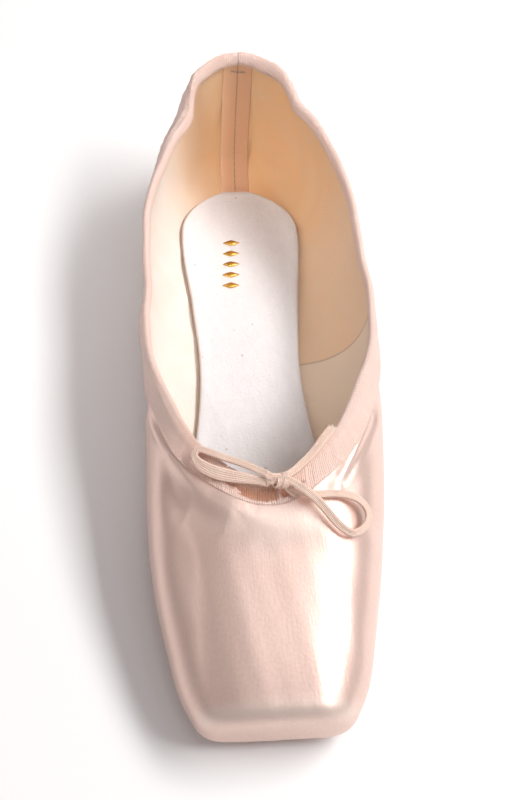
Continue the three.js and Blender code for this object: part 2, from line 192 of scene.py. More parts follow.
def is_inside(points, grow):
    """Which points are inside the last, grown by some millimetres."""
    x, y, z = points[..., 0], points[..., 1], points[..., 2]
    along = MIDDLE + y * MIDDLE / (MIDDLE + grow)
    back = smooth(HEEL_BACK, "height", "scale", z)
    along = np.where(along > MIDDLE, MIDDLE + (along - MIDDLE) / back, along)
    at = np.clip(along, 0, LENGTH)
    edge = rounded_edge(PLATFORM_EDGE, at)
    base = section("base", at) + edge + rounded_edge(HEEL_EDGE, LENGTH - at)
    half = np.maximum(widest_half(at) - edge + grow, 0.001)
    lean = smooth(LEAN, "along", "shift", at) * np.clip((z - LEAN_FROM) / LEAN_HEIGHT, 0, 1)
    widest = section("widest", at)
    above = z > widest
    ridge = section("ridge", at) - edge
    height = np.where(above, ridge - widest, widest - base) + grow
    crown = section("crown", at)
    power_x = np.where(above, crown, UNDERSIDE_POWER)
    power_z = np.where(above, crown, section("tuck", at))
    fill = (np.abs(x - lean) / half) ** power_x + (np.abs(z - widest) / height) ** power_z
    return (fill <= 1) & (along >= 0) & (along <= LENGTH)


def reach(origin, direction, grow):
    """Where lines from inside the last meet its surface."""
    low = np.zeros(direction.shape[:-1])
    high = np.full(direction.shape[:-1], FAR)
    for _ in range(HALVINGS):
        middle = (low + high) / 2
        inside = is_inside(origin + direction * middle[..., None], grow)
        low = np.where(inside, middle, low)
        high = np.where(inside, high, middle)
    return origin + direction * low[..., None]


def wall_at(along):
    """The upper's thickness: pasted layers round the toes, plain cloth behind."""
    return BOX_WALL + (QUARTER_WALL - BOX_WALL) * ease(BOX_WALL_ENDS, QUARTER_WALL_STARTS, along)


# ---------------------------------------------------------------- ribs over the last

TRACE_STEPS = 160
TRACE_RIBS = 240
BEND_WEIGHT = 14
COLLAR_DISTANCES = np.linspace(-6, 60, 133)
SPREAD_STEPS = 81
END_STEPS = 8
COLLAR_STEPS = 1440


def unit(vectors):
    """The vectors, each of length 1."""
    return vectors / np.linalg.norm(vectors, axis=-1, keepdims=True)


def rib_rays(loop, v):
    """Centres and looking directions of ribs, at fractions v of their way."""
    loop = np.mod(loop, 1.0)
    turn = np.where(loop <= 0.5, loop * 2, (1 - loop) * 2)
    side = np.where(loop <= 0.5, 1.0, -1.0)

    def get(column):
        return smooth(HALF_ROUND, "turn", column, turn)

    spine, out = get("spine"), get("side")
    centre = np.stack([0 * turn, spine - MIDDLE, smooth(SPINE, "along", "height", spine)], -1)
    fan = np.clip(turn / FAN_TURN, 0, 1)
    edge = np.stack([get("edge_x") * side, get("edge_along") - MIDDLE, 0 * turn + 4], -1)
    widest = section("widest", out) - BELOW_WIDEST
    sideways = np.stack([widest_half(out) * fan * side, out - MIDDLE, widest], -1)
    collar = np.stack([get("collar_x") * side, get("collar_along") - MIDDLE, get("collar_z")], -1)
    a, b, c = (unit(aim - centre) for aim in (edge, sideways, collar))
    v = v[..., None]
    return centre, unit((1 - v) ** 2 * a + 2 * v * (1 - v) * SIDE_PULL * b + v**2 * c)


def trace_ribs():
    """For each of many ribs: lengths and bend weights along it, to place points evenly."""
    loops = np.arange(TRACE_RIBS + 1) / TRACE_RIBS
    fractions = np.linspace(0, 1, TRACE_STEPS + 1)
    grid_loop, grid_v = np.meshgrid(loops, fractions, indexing="ij")
    points = reach(*rib_rays(grid_loop, grid_v), 0.0)
    runs = np.diff(points, axis=1)
    lengths = np.linalg.norm(runs, axis=-1)
    ways = runs / np.maximum(lengths[..., None], TINY)
    bends = np.arccos(np.clip((ways[:, 1:] * ways[:, :-1]).sum(-1), -1, 1))
    bends = np.pad(bends, ((0, 0), (0, 1)))
    start = np.zeros((len(loops), 1))
    length = np.concatenate([start, np.cumsum(lengths, 1)], 1)
    weight = np.concatenate([start, np.cumsum(lengths + BEND_WEIGHT * bends, 1)], 1)
    return fractions, length, weight


FRACTIONS, RIB_LENGTH, RIB_WEIGHT = trace_ribs()


def spread_table():
    """For each rib, the v of points that are evenly spread by length and bend."""
    want = np.linspace(0, 1, SPREAD_STEPS)
    return np.array([np.interp(want * w[-1], w, FRACTIONS) for w in RIB_WEIGHT])


def collar_table():
    """For each rib, the v at distances down from the collar, and a little past it."""
    speed = (RIB_LENGTH[:, -1] - RIB_LENGTH[:, -1 - END_STEPS]) / (FRACTIONS[-1] - FRACTIONS[-1 - END_STEPS])
    inside = [np.interp(length[-1] - COLLAR_DISTANCES, length, FRACTIONS) for length in RIB_LENGTH]
    past = 1 - COLLAR_DISTANCES / speed[:, None]
    return np.where(COLLAR_DISTANCES < 0, past, inside)


SPREAD = spread_table()
FROM_COLLAR = collar_table()


def look_up(table, loop, column):
    """Bilinear look-up in a table over the ribs, which closes on itself round the shoe."""
    rows = np.mod(loop, 1.0) * TRACE_RIBS
    i = np.floor(rows).astype(int) % TRACE_RIBS
    f = rows - np.floor(rows)
    j = np.clip(np.floor(column).astype(int), 0, table.shape[1] - 2)
    g = column - j
    first = table[i, j] * (1 - g) + table[i, j + 1] * g
    second = table[i + 1, j] * (1 - g) + table[i + 1, j + 1] * g
    return first * (1 - f) + second * f


def spread(loop, fraction):
    """The v at an even fraction of a rib, from the sole opening to the collar."""
    return look_up(SPREAD, loop, fraction * (SPREAD.shape[1] - 1))


def from_collar(loop, distance):
    """The v at a distance from the collar, measured down the rib; negative past the collar."""
    span = COLLAR_DISTANCES[-1] - COLLAR_DISTANCES[0]
    column = (distance - COLLAR_DISTANCES[0]) / span * (len(COLLAR_DISTANCES) - 1)
    return look_up(FROM_COLLAR, loop, column)


def on_last(loop, v, grow):
    """Points of the last's surface, grown by some millimetres, at places of the ribs."""
    loop, v = np.broadcast_arrays(loop, v)
    return reach(*rib_rays(loop, v), grow)


def rib_grid(loops, rows):
    """A grid of places round the shoe and up its ribs: loop, v, and where they are on the last."""
    loop, row = np.meshgrid(loops, rows, indexing="ij")
    v = spread(loop, row)
    return loop, v, on_last(loop, v, 0.0)


def collar_along(loop):
    """How far back the collar is at each place of the loop."""
    return on_last(loop, np.ones_like(loop), 0.0)[..., 1] + MIDDLE


def run_lengths(line):
    """How far along a line each of its points is."""
    return np.concatenate([[0], np.cumsum(np.linalg.norm(np.diff(line, axis=0), axis=-1))])


def underside(x, along, shrink):
    """How high the last's underside is, the last shrunk by some millimetres."""
    behind = np.maximum(0, along - MIDDLE)
    at = along + behind * (1 / HEEL_BACK["scale"][0] - 1) + shrink * behind / MIDDLE
    half = np.maximum(widest_half(np.clip(at, 0, LENGTH)) - shrink, 1)
    widest = section("widest", at)
    height = widest - section("base", at) - rounded_edge(HEEL_EDGE, LENGTH - at) - shrink
    out = np.minimum(np.abs(x) / half, UNDERSIDE_LIMIT)
    return widest - height * (1 - out**UNDERSIDE_POWER) ** (1 / section("tuck", at))


# ---------------------------------------------------------------- folds and creases
#
# A row is one fold: the line from its start to its end, how wide it is, and how far it stands
# proud (or sinks in, when below 0). All are in the shoe's own millimetres.

FOLD_COLUMNS = "x0 along0 z0 x1 along1 z1 width height"
WALL_FOLDS = columns(FOLD_COLUMNS, [
    (-41, 117, 16, -36, 112, 42, 3.2, -1.5),    # the box ends and the soft side starts
    (-41, 136, 26, -40, 150, 38, 13, 1.5),      # slack of the left side
    (43, 120, 18, 41, 113, 38, 4.0, -0.5),
    (-35, 203, 46, -35, 196, 26, 5.0, -0.8),    # where the heel cup starts
    (24, 223, 60, 29, 216, 34, 5.0, -0.9),
    (-20, 229, 60, -24, 224, 36, 3.5, -0.5),
])
SATIN_FOLDS = columns(FOLD_COLUMNS, [
    (40, 101, 38, 22, 70, 45, 2.4, 1.5),        # the two pulled folds of the right wing
    (37, 96, 41, 24, 72, 45, 1.5, -1.2),
    (36, 97, 42.5, 24, 74, 45.6, 1.5, 1.1),
    (-37, 106, 33, -30, 85, 42, 2.0, 1.3),      # the pull beside the left binding
    (-30, 85, 42, -20, 70, 45, 2.2, 1.5),
    (-21, 70, 45, -5, 61, 45, 4.0, 1.3),
    (-32, 84, 39, -30, 68, 40, 4.5, -1.0),
    (-30, 72, 40.5, -28, 30, 30, 6.5, -0.6),
    (-15, 58, 44, -27, 66, 42, 5.4, -1.1),      # dimple beside the throat
    (-10, 60, 44.5, 18, 59, 43.5, 6.5, 0.6),    # swell in front of the throat
    (39, 60, 30, 30, 66, 41, 5.0, -0.6),
    (-38, 150, 12, -40, 128, 30, 5.0, -0.6),
    (38, 156, 12, 41, 136, 32, 5.0, -0.6),
    (-33, 192, 10, -38, 172, 34, 6.0, 0.6),
    (34, 190, 10, 38, 168, 34, 6.0, 0.6),
    (30, 206, 8, 33, 200, 40, 4.0, -0.5),
    (-14, 236, 20, -20, 231, 50, 4.0, -0.4),
])
LINING_FOLDS = columns(FOLD_COLUMNS, [
    (-26, 150, 12, -36, 170, 36, 4.0, -0.9),
    (-30, 120, 14, -36, 128, 36, 4.0, -0.8),
    (28, 176, 10, 36, 164, 36, 4.5, -0.7),
    (26, 202, 12, 31, 208, 44, 4.0, -0.7),
    (-24, 204, 12, -29, 212, 44, 4.0, -0.7),
    (30, 132, 14, 38, 122, 32, 3.5, -0.8),
    (22, 150, 12, 34, 150, 28, 3.0, 0.5),
])


def folds(table, points):
    """How far the folds of a table move each point outwards."""
    total = np.zeros(points.shape[:-1])
    for row in zip(*table.values()):
        x0, along0, z0, x1, along1, z1, width, height = row
        start = np.array([x0, along0 - MIDDLE, z0])
        way = np.array([x1, along1 - MIDDLE, z1]) - start
        t = np.clip(((points - start) @ way) / (way @ way), 0, 1)
        distance = np.linalg.norm(points - start - t[..., None] * way, axis=-1)
        total += height * hump(distance, 0, width) * (0.45 + 0.55 * np.sin(math.pi * t))
    return total


def ripple(distance, pitch, seed, count=5):
    """An uneven wave along a length, between -1 and 1."""
    rng = np.random.default_rng(seed)
    total = np.zeros_like(distance)
    for _ in range(count):
        total += np.sin(2 * math.pi * distance / (pitch * rng.uniform(0.6, 1.7)) + rng.uniform(0, 6.3))
    return total / count


def collar_length(loop):
    """Distance round the collar, in millimetres, for each place of the loop."""
    steps = np.linspace(0, 1, COLLAR_STEPS // 2 + 1)
    points = on_last(steps, np.ones_like(steps), 0.0)
    lengths = run_lengths(points)
    return np.interp(np.mod(loop, 1.0), steps, lengths), lengths[-1]


# ---------------------------------------------------------------- mesh and node helpers


def to_row(points):
    """Points in the shoe's millimetres, in the object's metres."""
    return (np.asarray(points, float) - np.array([*CENTRE, 0])) * MM


def make_object(name, points, faces, uv):
    """A mesh object from points in the shoe's millimetres."""
    mesh = bpy.data.meshes.new(name)
    points = to_row(np.reshape(points, (-1, 3)))
    faces = np.asarray(faces, np.int32)
    mesh.vertices.add(len(points))
    mesh.vertices.foreach_set("co", points.ravel())
    mesh.loops.add(faces.size)
    mesh.loops.foreach_set("vertex_index", faces.ravel())
    mesh.polygons.add(len(faces))
    corners = faces.shape[1]
    mesh.polygons.foreach_set("loop_start", np.arange(0, faces.size, corners))
    mesh.polygons.foreach_set("loop_total", np.full(len(faces), corners))
    mesh.polygons.foreach_set("use_smooth", np.full(len(faces), True))
    mesh.update(calc_edges=True)
    if uv is not None:
        layer = mesh.uv_layers.new(name="cloth")
        layer.data.foreach_set("uv", np.reshape(uv, (-1, 2))[faces.ravel()].ravel())
    mesh.validate()
    thing = bpy.data.objects.new(name, mesh)
    bpy.context.scene.collection.objects.link(thing)
    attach(thing, "root")
    return thing


def ring_faces(rings, around, closed_ring=True):
    """Quads of a body that goes round in rings, each ring a closed profile."""
    i = np.arange(rings if closed_ring else rings - 1)[:, None]
    j = np.arange(around)[None, :]
    after, up = (i + 1) % rings, (j + 1) % around
    quads = np.stack([i * around + j, after * around + j, after * around + up, i * around + up], -1)
    return quads.reshape(-1, 4)


def ring_body(name, profiles, uv):
    """A closed body from a ring of closed profiles: profiles is rings x points x 3."""
    return make_object(name, profiles, ring_faces(*profiles.shape[:2]), uv)


def swept_body(name, profiles, uv):
    """A body from a line of closed profiles, its two ends still open."""
    return make_object(name, profiles, ring_faces(*profiles.shape[:2], closed_ring=False), uv)


def cap(thing, faces):
    """Adds the faces that close a body's ends, and turns every face outwards."""
    body = bmesh.new()
    body.from_mesh(thing.data)
    body.verts.ensure_lookup_table()
    for face in faces:
        body.faces.new([body.verts[i] for i in face])
    bmesh.ops.recalc_face_normals(body, faces=body.faces)
    for face in body.faces:
        face.smooth = True
    body.to_mesh(thing.data)
    body.free()


def cap_tape(thing, around):
    """One face on each end of a tape."""
    count = len(thing.data.vertices)
    cap(thing, [range(around)[::-1], range(count - around, count)])


def cap_plate(thing, around):
    """A strip of quads on each end of a plate, between its top and bottom rows."""
    strips = []
    for first in (0, len(thing.data.vertices) - around):
        for j in range(around // 2 - 1):
            top, low = first + j, first + around - 1 - j
            strips.append((top, top + 1, low - 1, low))
    cap(thing, strips)


def add(nodes, kind, **settings):
    """A node, with its inputs and its own settings set by name."""
    node = nodes.new(kind)
    for key, value in settings.items():
        if key in node.inputs.keys():
            node.inputs[key].default_value = value
        else:
            setattr(node, key, value)
    return node


class Look:
    """A material being made, with short ways to add its nodes and join them."""

    def __init__(self, name, colour, roughness, **sockets):
        self.made = bpy.data.materials.new(name)
        self.made.use_nodes = True
        self.nodes, self.links = self.made.node_tree.nodes, self.made.node_tree.links
        self.shader = self.nodes["Principled BSDF"]
        self.paint(Base_Color=(*colour[:3], 1), Roughness=roughness, **sockets)

    def join(self, value, socket):
        """Links a socket to another, or sets its value."""
        if isinstance(value, bpy.types.NodeSocket):
            self.links.new(value, socket)
        else:
            socket.default_value = value

    def paint(self, **sockets):
        """Sets or links the shader's sockets; a space in a name is written _."""
        for name, value in sockets.items():
            self.join(value, self.shader.inputs[name.replace("_", " ")])

    def place(self, source="Object", scale=(1, 1, 1)):
        """Object position, or the cloth's own map, in millimetres."""
        if source == "Object":
            vector = add(self.nodes, "ShaderNodeTexCoord").outputs["Object"]
            scale = [s / MM for s in scale]
        else:
            vector = add(self.nodes, "ShaderNodeUVMap", uv_map="cloth").outputs["UV"]
        node = add(self.nodes, "ShaderNodeVectorMath", operation="MULTIPLY")
        self.links.new(vector, node.inputs[0])
        node.inputs[1].default_value = scale
        return node.outputs["Vector"]

    def noise(self, size, detail, scale=(1, 1, 1), source="Object"):
        """Noise between 0 and 1, with features of about this size in millimetres."""
        node = add(self.nodes, "ShaderNodeTexNoise", Scale=1 / size, Detail=detail)
        self.links.new(self.place(source, scale), node.inputs["Vector"])
        return node.outputs["Fac"]

    def bands(self, pitch, axis, distortion, scale=(1, 1, 1)):
        """Soft bands across an axis of the cloth's map, between 0 and 1."""
        node = add(self.nodes, "ShaderNodeTexWave", bands_direction=axis, Distortion=distortion, Detail=1.0)
        node.inputs["Scale"].default_value = math.pi / 10 / pitch
        self.links.new(self.place("cloth", scale), node.inputs["Vector"])
        return node.outputs["Fac"]

    def math(self, operation, *values):
        """One step of arithmetic on values and sockets."""
        node = add(self.nodes, "ShaderNodeMath", operation=operation)
        for value, socket in zip(values, node.inputs):
            self.join(value, socket)
        return node.outputs[0]

    def fit(self, value, low, high, to_low=0.0, to_high=1.0):
        """A value carried from one range to another, and kept inside it."""
        node = add(self.nodes, "ShaderNodeMapRange")
        for socket, number in zip(node.inputs, (value, low, high, to_low, to_high)):
            self.join(number, socket)
        return node.outputs["Result"]

    def split(self, vector):
        """The three parts of a vector."""
        node = add(self.nodes, "ShaderNodeSeparateXYZ")
        self.links.new(vector, node.inputs[0])
        return node.outputs

    def attribute(self, name, output="Fac"):
        """A value kept at the mesh's points."""
        return add(self.nodes, "ShaderNodeAttribute", attribute_name=name).outputs[output]

    def blend(self, factor, low, high):
        """One colour carried to another by a factor."""
        node = add(self.nodes, "ShaderNodeMix", data_type="RGBA")
        for name, value in (("Factor_Float", factor), ("A_Color", low), ("B_Color", high)):
            socket = next(s for s in node.inputs if s.identifier == name)
            if not isinstance(value, bpy.types.NodeSocket):
                value = (*value[:3], 1)
            self.join(value, socket)
        return next(s for s in node.outputs if s.identifier == "Result_Color")

    def tint(self, shade, *layers):
        """A base colour with others over it.

        Each layer is a mask, the values where it starts and is full, its strength there and its colour.
        """
        for mask, low, high, amount, colour in layers:
            shade = self.blend(self.fit(mask, low, high, 0, amount), shade, colour)
        self.paint(Base_Color=shade)

    def bump(self, *layers):
        """Bumps laid on each other: each is a height between 0 and 1 and its depth in metres."""
        normal = None
        for height, depth in layers:
            node = add(self.nodes, "ShaderNodeBump", Distance=depth, Strength=1.0)
            self.links.new(height, node.inputs["Height"])
            if normal:
                self.links.new(normal, node.inputs["Normal"])
            normal = node.outputs["Normal"]
        self.links.new(normal, self.shader.inputs["Normal"])


def give(thing, look):
    """Puts a look on a piece."""
    thing.data.materials.append(look.made)
    return thing


def write_attribute(thing, name, values, kind="FLOAT"):
    """Keeps a value at each point of a piece, for its look to read."""
    layer = thing.data.attributes.new(name, kind, "POINT")
    layer.data.foreach_set("value" if kind == "FLOAT" else "vector", np.asarray(values, float).ravel())


# ---------------------------------------------------------------- places on the upper

FINE_ROUND = 2001
LOOK_UP_MARGIN = 1e-6
MOUTH_MIDDLE, MOUTH_HALF = -1.0, 13.0
MOUTH_CENTRE, MOUTH_DEEP = 5.1, 2.9
JOIN_AT, JOIN_WIDTH = 3.2, 0.9
RIM_REACH = 8
RIM_WALL = 1.0
PLEAT_TURN = 0.30
PLEAT_LENGTH = 27
BINDING_WIDTH, BINDING_TURN = 8.7, 2.4
BINDING_NEAR, BINDING_FAR = 0.22, 0.72
SIDE_SEAM, PANEL_SEAM, FRONT_SEAM = 118.0, 141.0, 88.0


def round_places(count, closer):
    """Places round the loop, closer together at the toe than at the heel."""
    fine = np.linspace(0, 1, FINE_ROUND)
    turn = 1 - np.abs(1 - 2 * fine)
    weight = np.cumsum(1 + closer * (1 - ease(0.2, 0.42, turn)))
    return np.interp(np.arange(count) / count, (weight - weight[0]) / (weight[-1] - weight[0]), fine)


COLLAR_PLACES = np.linspace(0, 1, COLLAR_STEPS + 1)
COLLAR_LENGTHS, COLLAR_ROUND = collar_length(COLLAR_PLACES)


def collar_place(loop):
    """Signed distance along the collar from the middle of the throat."""
    place = np.interp(np.mod(loop, 1.0), COLLAR_PLACES[:-1], COLLAR_LENGTHS[:-1])
    return np.where(np.mod(loop, 1.0) > 0.5, place - COLLAR_ROUND, place)


def rib_place(loop, v):
    """Distance from the sole opening, and distance to the collar, in millimetres."""
    last = TRACE_STEPS - LOOK_UP_MARGIN
    full = look_up(RIB_LENGTH, loop, np.full(np.shape(v), last))
    run = look_up(RIB_LENGTH, loop, np.clip(v, 0, 1) * last)
    return run, full - run


def mouth(place, down):
    """How far into the opening of the casing a place is, from 0 to 1; a bar joins its edges."""
    across = (place - MOUTH_MIDDLE) / MOUTH_HALF
    lens = MOUTH_DEEP * np.clip(1 - across**2, 0, 1)
    inside = np.clip(1 - ((down - MOUTH_CENTRE) / np.maximum(lens, 0.01)) ** 2, 0, 1) * (lens > 0.05)
    return inside * (1 - 0.75 * hump(place, JOIN_AT, JOIN_WIDTH))


# Where the drawstring pulls the rim in (below 0) or lets it stand out, by place round the collar.
RIM_LINE = columns("place out", [
    (-203, -0.8), (-196, -1.1), (-188, -1.4), (-181.5, -1.6), (-177.5, -3.0), (-174, -4.4), (-169.5, -4.7),
    (-163, -4.0), (-154, -2.9), (-141, -1.5), (-128, -0.3), (-110, 0.3), (-96, -0.6), (-82, 0.3), (-66, 0.8),
    (-50, 0.2), (-30, 0), (30, 0), (60, 0.2), (80, 0.4), (92, 0.5), (110, 0.1), (126, 0), (140, -0.3),
    (155, -0.5), (165, -1.6), (174, -2.4), (180, -1.4), (186, -0.9), (194, -1.1), (203, -0.8),
])


def rim_pull(place, down):
    """How far the drawstring moves the rim, fading down the upper."""
    return smooth(RIM_LINE, "place", "out", place) * np.exp(-np.clip(down, 0, None) / RIM_REACH)


def cloth_wall(along, down):
    """Thickness of the upper, thinned towards its bound edge."""
    full = wall_at(along)
    return RIM_WALL + (full - RIM_WALL) * ease(1, 15, down)


def satin_thickness(down):
    """Thickness of the satin alone, thinner under the binding."""
    return 0.34 + 0.34 * ease(2, 14, down)


def pleats(loop, run, count):
    """Pleats folded in under the toe, where the satin is drawn to the sole."""
    turn = 1 - np.abs(1 - 2 * np.mod(loop, 1.0))
    signed = np.where(np.mod(loop, 1.0) > 0.5, -turn, turn)
    wander = 0.18 * np.sin(signed * 61) + 0.14 * np.sin(signed * 23 + 1)
    phase = signed / (2 * PLEAT_TURN) * count + wander
    off = phase - np.round(phase)
    valley = hump(off, 0, 0.13)
    lay = off + 0.5
    uneven = 0.8 + 0.2 * np.sin(np.round(phase) * 2.4)
    fade = 1 - ease(PLEAT_LENGTH * 0.35, PLEAT_LENGTH, run)
    fade = fade * (1 - ease(PLEAT_TURN * 0.8, PLEAT_TURN * 1.25, turn))
    return -(0.95 * valley + 0.45 * lay) * fade * uneven


def satin_shift(points, loop, v, pleat_count):
    """How far the satin stands off the last at each place."""
    run, down = rib_place(loop, v)
    place = collar_place(loop)
    along = points[..., 1] + MIDDLE
    shift = folds(WALL_FOLDS, points) + folds(SATIN_FOLDS, points) + pleats(loop, run, pleat_count)
    below = np.clip(down - BINDING_WIDTH, 0, None)
    drawn = 0.12 + 0.5 * ease(130, 200, along)
    gathers = 0.20 * ripple(place, 3.1, 3) * np.exp(-below / 3.2) * (down > 0) * drawn
    soft = ease(104, 140, along)
    slack = 0.42 * ripple(place * 0.8 + down * 0.5, 26, 11) * soft * ease(0, 14, run)
    creep = 0.16 * ripple(down * 1.3 - place * 0.25, 9, 12) * soft * ease(0, 12, run)
    vamp = 0.10 * ripple(points[..., 0] * 1.2 + 0.3 * points[..., 1], 15, 13) * (1 - soft) * ease(6, 30, run)
    sunk = -1.6 * mouth(place, down)
    return shift + gathers + slack + creep + vamp + sunk + rim_pull(place, down)


def satin_back(points, loop, v, pleat_count):
    """How far the satin's inside stands off the last at each place."""
    return satin_shift(points, loop, v, pleat_count) - satin_thickness(rib_place(loop, v)[1])


def lining_face(points, loop, v, pleat_count):
    """Where the lining's inside lies, from the last: never out through the satin."""
    run, down = rib_place(loop, v)
    place = collar_place(loop)
    along = points[..., 1] + MIDDLE
    room = ease(96, 128, along)
    puckers = 0.5 * ripple(place, 7, 31) * np.exp(-np.clip(down - 3, 0, None) / 9) * room
    slack = 0.65 * ripple(place + 0.3 * down, 19, 32) * room * ease(2, 14, run)
    own = 0.5 * folds(WALL_FOLDS, points) + folds(LINING_FOLDS, points) + puckers + slack
    own = np.minimum(own, 0.8) - 0.9 * mouth(place, down) + rim_pull(place, down)
    return np.minimum(own - cloth_wall(along, down), satin_back(points, loop, v, pleat_count) - 0.3)


def binding_wave(loop):
    """Unevenness of the collar's rim: how far out, and how far up."""
    place = collar_place(loop)
    slack = 0.35 + 0.65 * ease(110, 200, collar_along(loop))
    out = 0.45 * ripple(place, 17, 21) * slack
    up = 0.55 * ripple(place, 21, 22) * slack
    return out, up


# ---------------------------------------------------------------- satin, lining and heel tape

SATIN_ROUND, SATIN_UP, SATIN_BACK_UP = 460, 112, 24
LINING_ROUND, LINING_UP, LINING_BACK_UP = 400, 84, 30
ALONG_SHOE = (0.0, 1.0, 0.0)


def satin_look(settings):
    """Brushed satin: streaks along the warp, a fine grain, a paler platform edge, a painted highlight in
    front of the throat, and sunken seams.
    """
    look = Look("satin", settings.satin, 0.34, Metallic=0.58, Specular_IOR_Level=0.7, Anisotropic=0.45,
                Sheen_Weight=0.10, Sheen_Roughness=0.35)
    fine = look.noise(1.0, 3, (0.22, 1.9, 1), "cloth")
    slubs = look.noise(1.0, 2, (0.03, 0.6, 1), "cloth")
    grain = look.noise(1.0, 3, (0.9, 1.5, 1), "cloth")
    look.tint(
        settings.satin,
        (fine, 0.35, 0.7, 0.14, (0.72, 0.475, 0.40)),
        (slubs, 0.56, 0.75, 0.14, (0.92, 0.74, 0.67)),
        (look.noise(14.0, 2), 0.4, 0.75, 0.24, (0.78, 0.54, 0.46)),
        (grain, 0.4, 0.7, 0.32, (0.72, 0.48, 0.40)),
        # edge: paler along the platform's top edge, with a painted highlight on the vamp in front of the
        # throat
        (look.attribute("edge"), 0, 1, 0.5, (0.97, 0.83, 0.75)),
    )
    rubbed = look.noise(1.0, 3, (0.2, 0.8, 1), "cloth")
    look.paint(Roughness=look.fit(rubbed, 0.3, 0.7, 0.36, 0.41), Tangent=look.attribute("warp", "Vector"))
    position = look.split(look.place())
    slant = look.math("ADD", position[1], look.math("MULTIPLY", position[2], 0.10))
    side = look.math("ABSOLUTE", look.math("SUBTRACT", slant, SIDE_SEAM - MIDDLE))
    behind = look.fit(position[1], 100, 104)
    away = look.math("MULTIPLY", look.math("SUBTRACT", 1.0, behind), 50)
    back = look.math("ADD", look.math("ABSOLUTE", position[0]), away)
    seam = look.fit(look.math("MINIMUM", side, back), 0.0, 0.55)
    look.bump((fine, 0.00003), (grain, 0.000028), (seam, 0.0004))
    return look


def satin_upper(settings):
    """The outer cloth, with its folds, its gathers under the binding and its pleats."""
    loops = round_places(SATIN_ROUND, 0.9)
    rows = np.append(np.linspace(0, 1, SATIN_UP), 1.0)
    loop, v, base = rib_grid(loops, rows)
    outside = on_last(loop, v, satin_shift(base, loop, v, settings.pleats))
    back_loop, back_v, back_base = rib_grid(loops, np.linspace(0, 1, SATIN_BACK_UP)[::-1])
    inside = on_last(back_loop, back_v, satin_back(back_base, back_loop, back_v, settings.pleats))
    profiles = np.concatenate([outside, inside], 1)
    run, down = rib_place(loop, v)
    along = outside[..., 1] + MIDDLE
    front = 1 - ease(0.16, 0.30, 1 - np.abs(1 - 2 * loop))
    place = collar_place(loop)
    uv = np.zeros(profiles.shape[:2] + (2,))
    uv[:, : len(rows), 0] = front * run + (1 - front) * along
    uv[:, : len(rows), 1] = front * place + (1 - front) * (run + place * 0.2)
    thing = ring_body("satin_upper", profiles, uv)
    up_rib = unit(np.gradient(outside, axis=1) + 1e-9)
    warp = unit(front[..., None] * up_rib + (1 - front[..., None]) * np.array(ALONG_SHOE) + 1e-6)
    padded = np.concatenate([warp, np.broadcast_to(ALONG_SHOE, inside.shape)], 1)
    write_attribute(thing, "warp", padded, "FLOAT_VECTOR")
    # Paler along the platform's top edge, and a painted highlight on the vamp below the throat's middle
    rim = hump(along, 3.5, 3.0) * ease(14, 22, outside[..., 2])
    painted_throat_highlight = hump(place, 4, 18) * hump(down, 15, 7)
    edge = np.concatenate([np.maximum(rim, painted_throat_highlight), np.zeros(inside.shape[:2])], 1)
    write_attribute(thing, "edge", edge)
    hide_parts("upper")
    return give(thing, satin_look(settings))


def lining_look(settings):
    """Woven cotton, with painted warm shade on its right wall and heel, painted shade low down and towards
    the toe, and a paler canvas panel in front of its seam.
    """
    look = Look("cotton lining", settings.lining, 0.9, Sheen_Weight=0.2, Sheen_Roughness=0.6,
                Specular_IOR_Level=0.25)
    warp = look.bands(0.42, "X", 1.2)
    weft = look.bands(0.46, "Y", 1.2)
    lint = look.noise(0.8, 3)
    seam_at = look.attribute("seam")
    seam = look.fit(look.math("ABSOLUTE", seam_at), 0.0, 0.55)
    look.tint(
        settings.lining,
        # painted warm shade: the right wall and the heel turned orange, where the lining lies in shade
        (look.attribute("painted_warm_shade"), 0, 1, 1, (1.0, 0.635, 0.325)),
        (look.noise(11.0, 3), 0.35, 0.7, 0.28, (0.92, 0.74, 0.56)),
        (lint, 0.6, 0.72, 0.35, (0.93, 0.84, 0.72)),
        (look.bands(0.62, "DIAGONAL", 0.8), 0.2, 0.8, 0.12, (0.62, 0.42, 0.28)),
        (seam_at, 0.1, -0.1, 0.7, (0.95, 0.82, 0.68)),
        (seam, 1, 0, 0.7, (0.56, 0.40, 0.29)),
        # painted shade low down by the sole and inside the toe box
        (look.attribute("painted_depth_shade"), 0, 1, 0.55, (0.62, 0.36, 0.18)),
    )
    look.bump((warp, 0.00006), (weft, 0.00006), (lint, 0.00004), (seam, 0.00012))
    return look


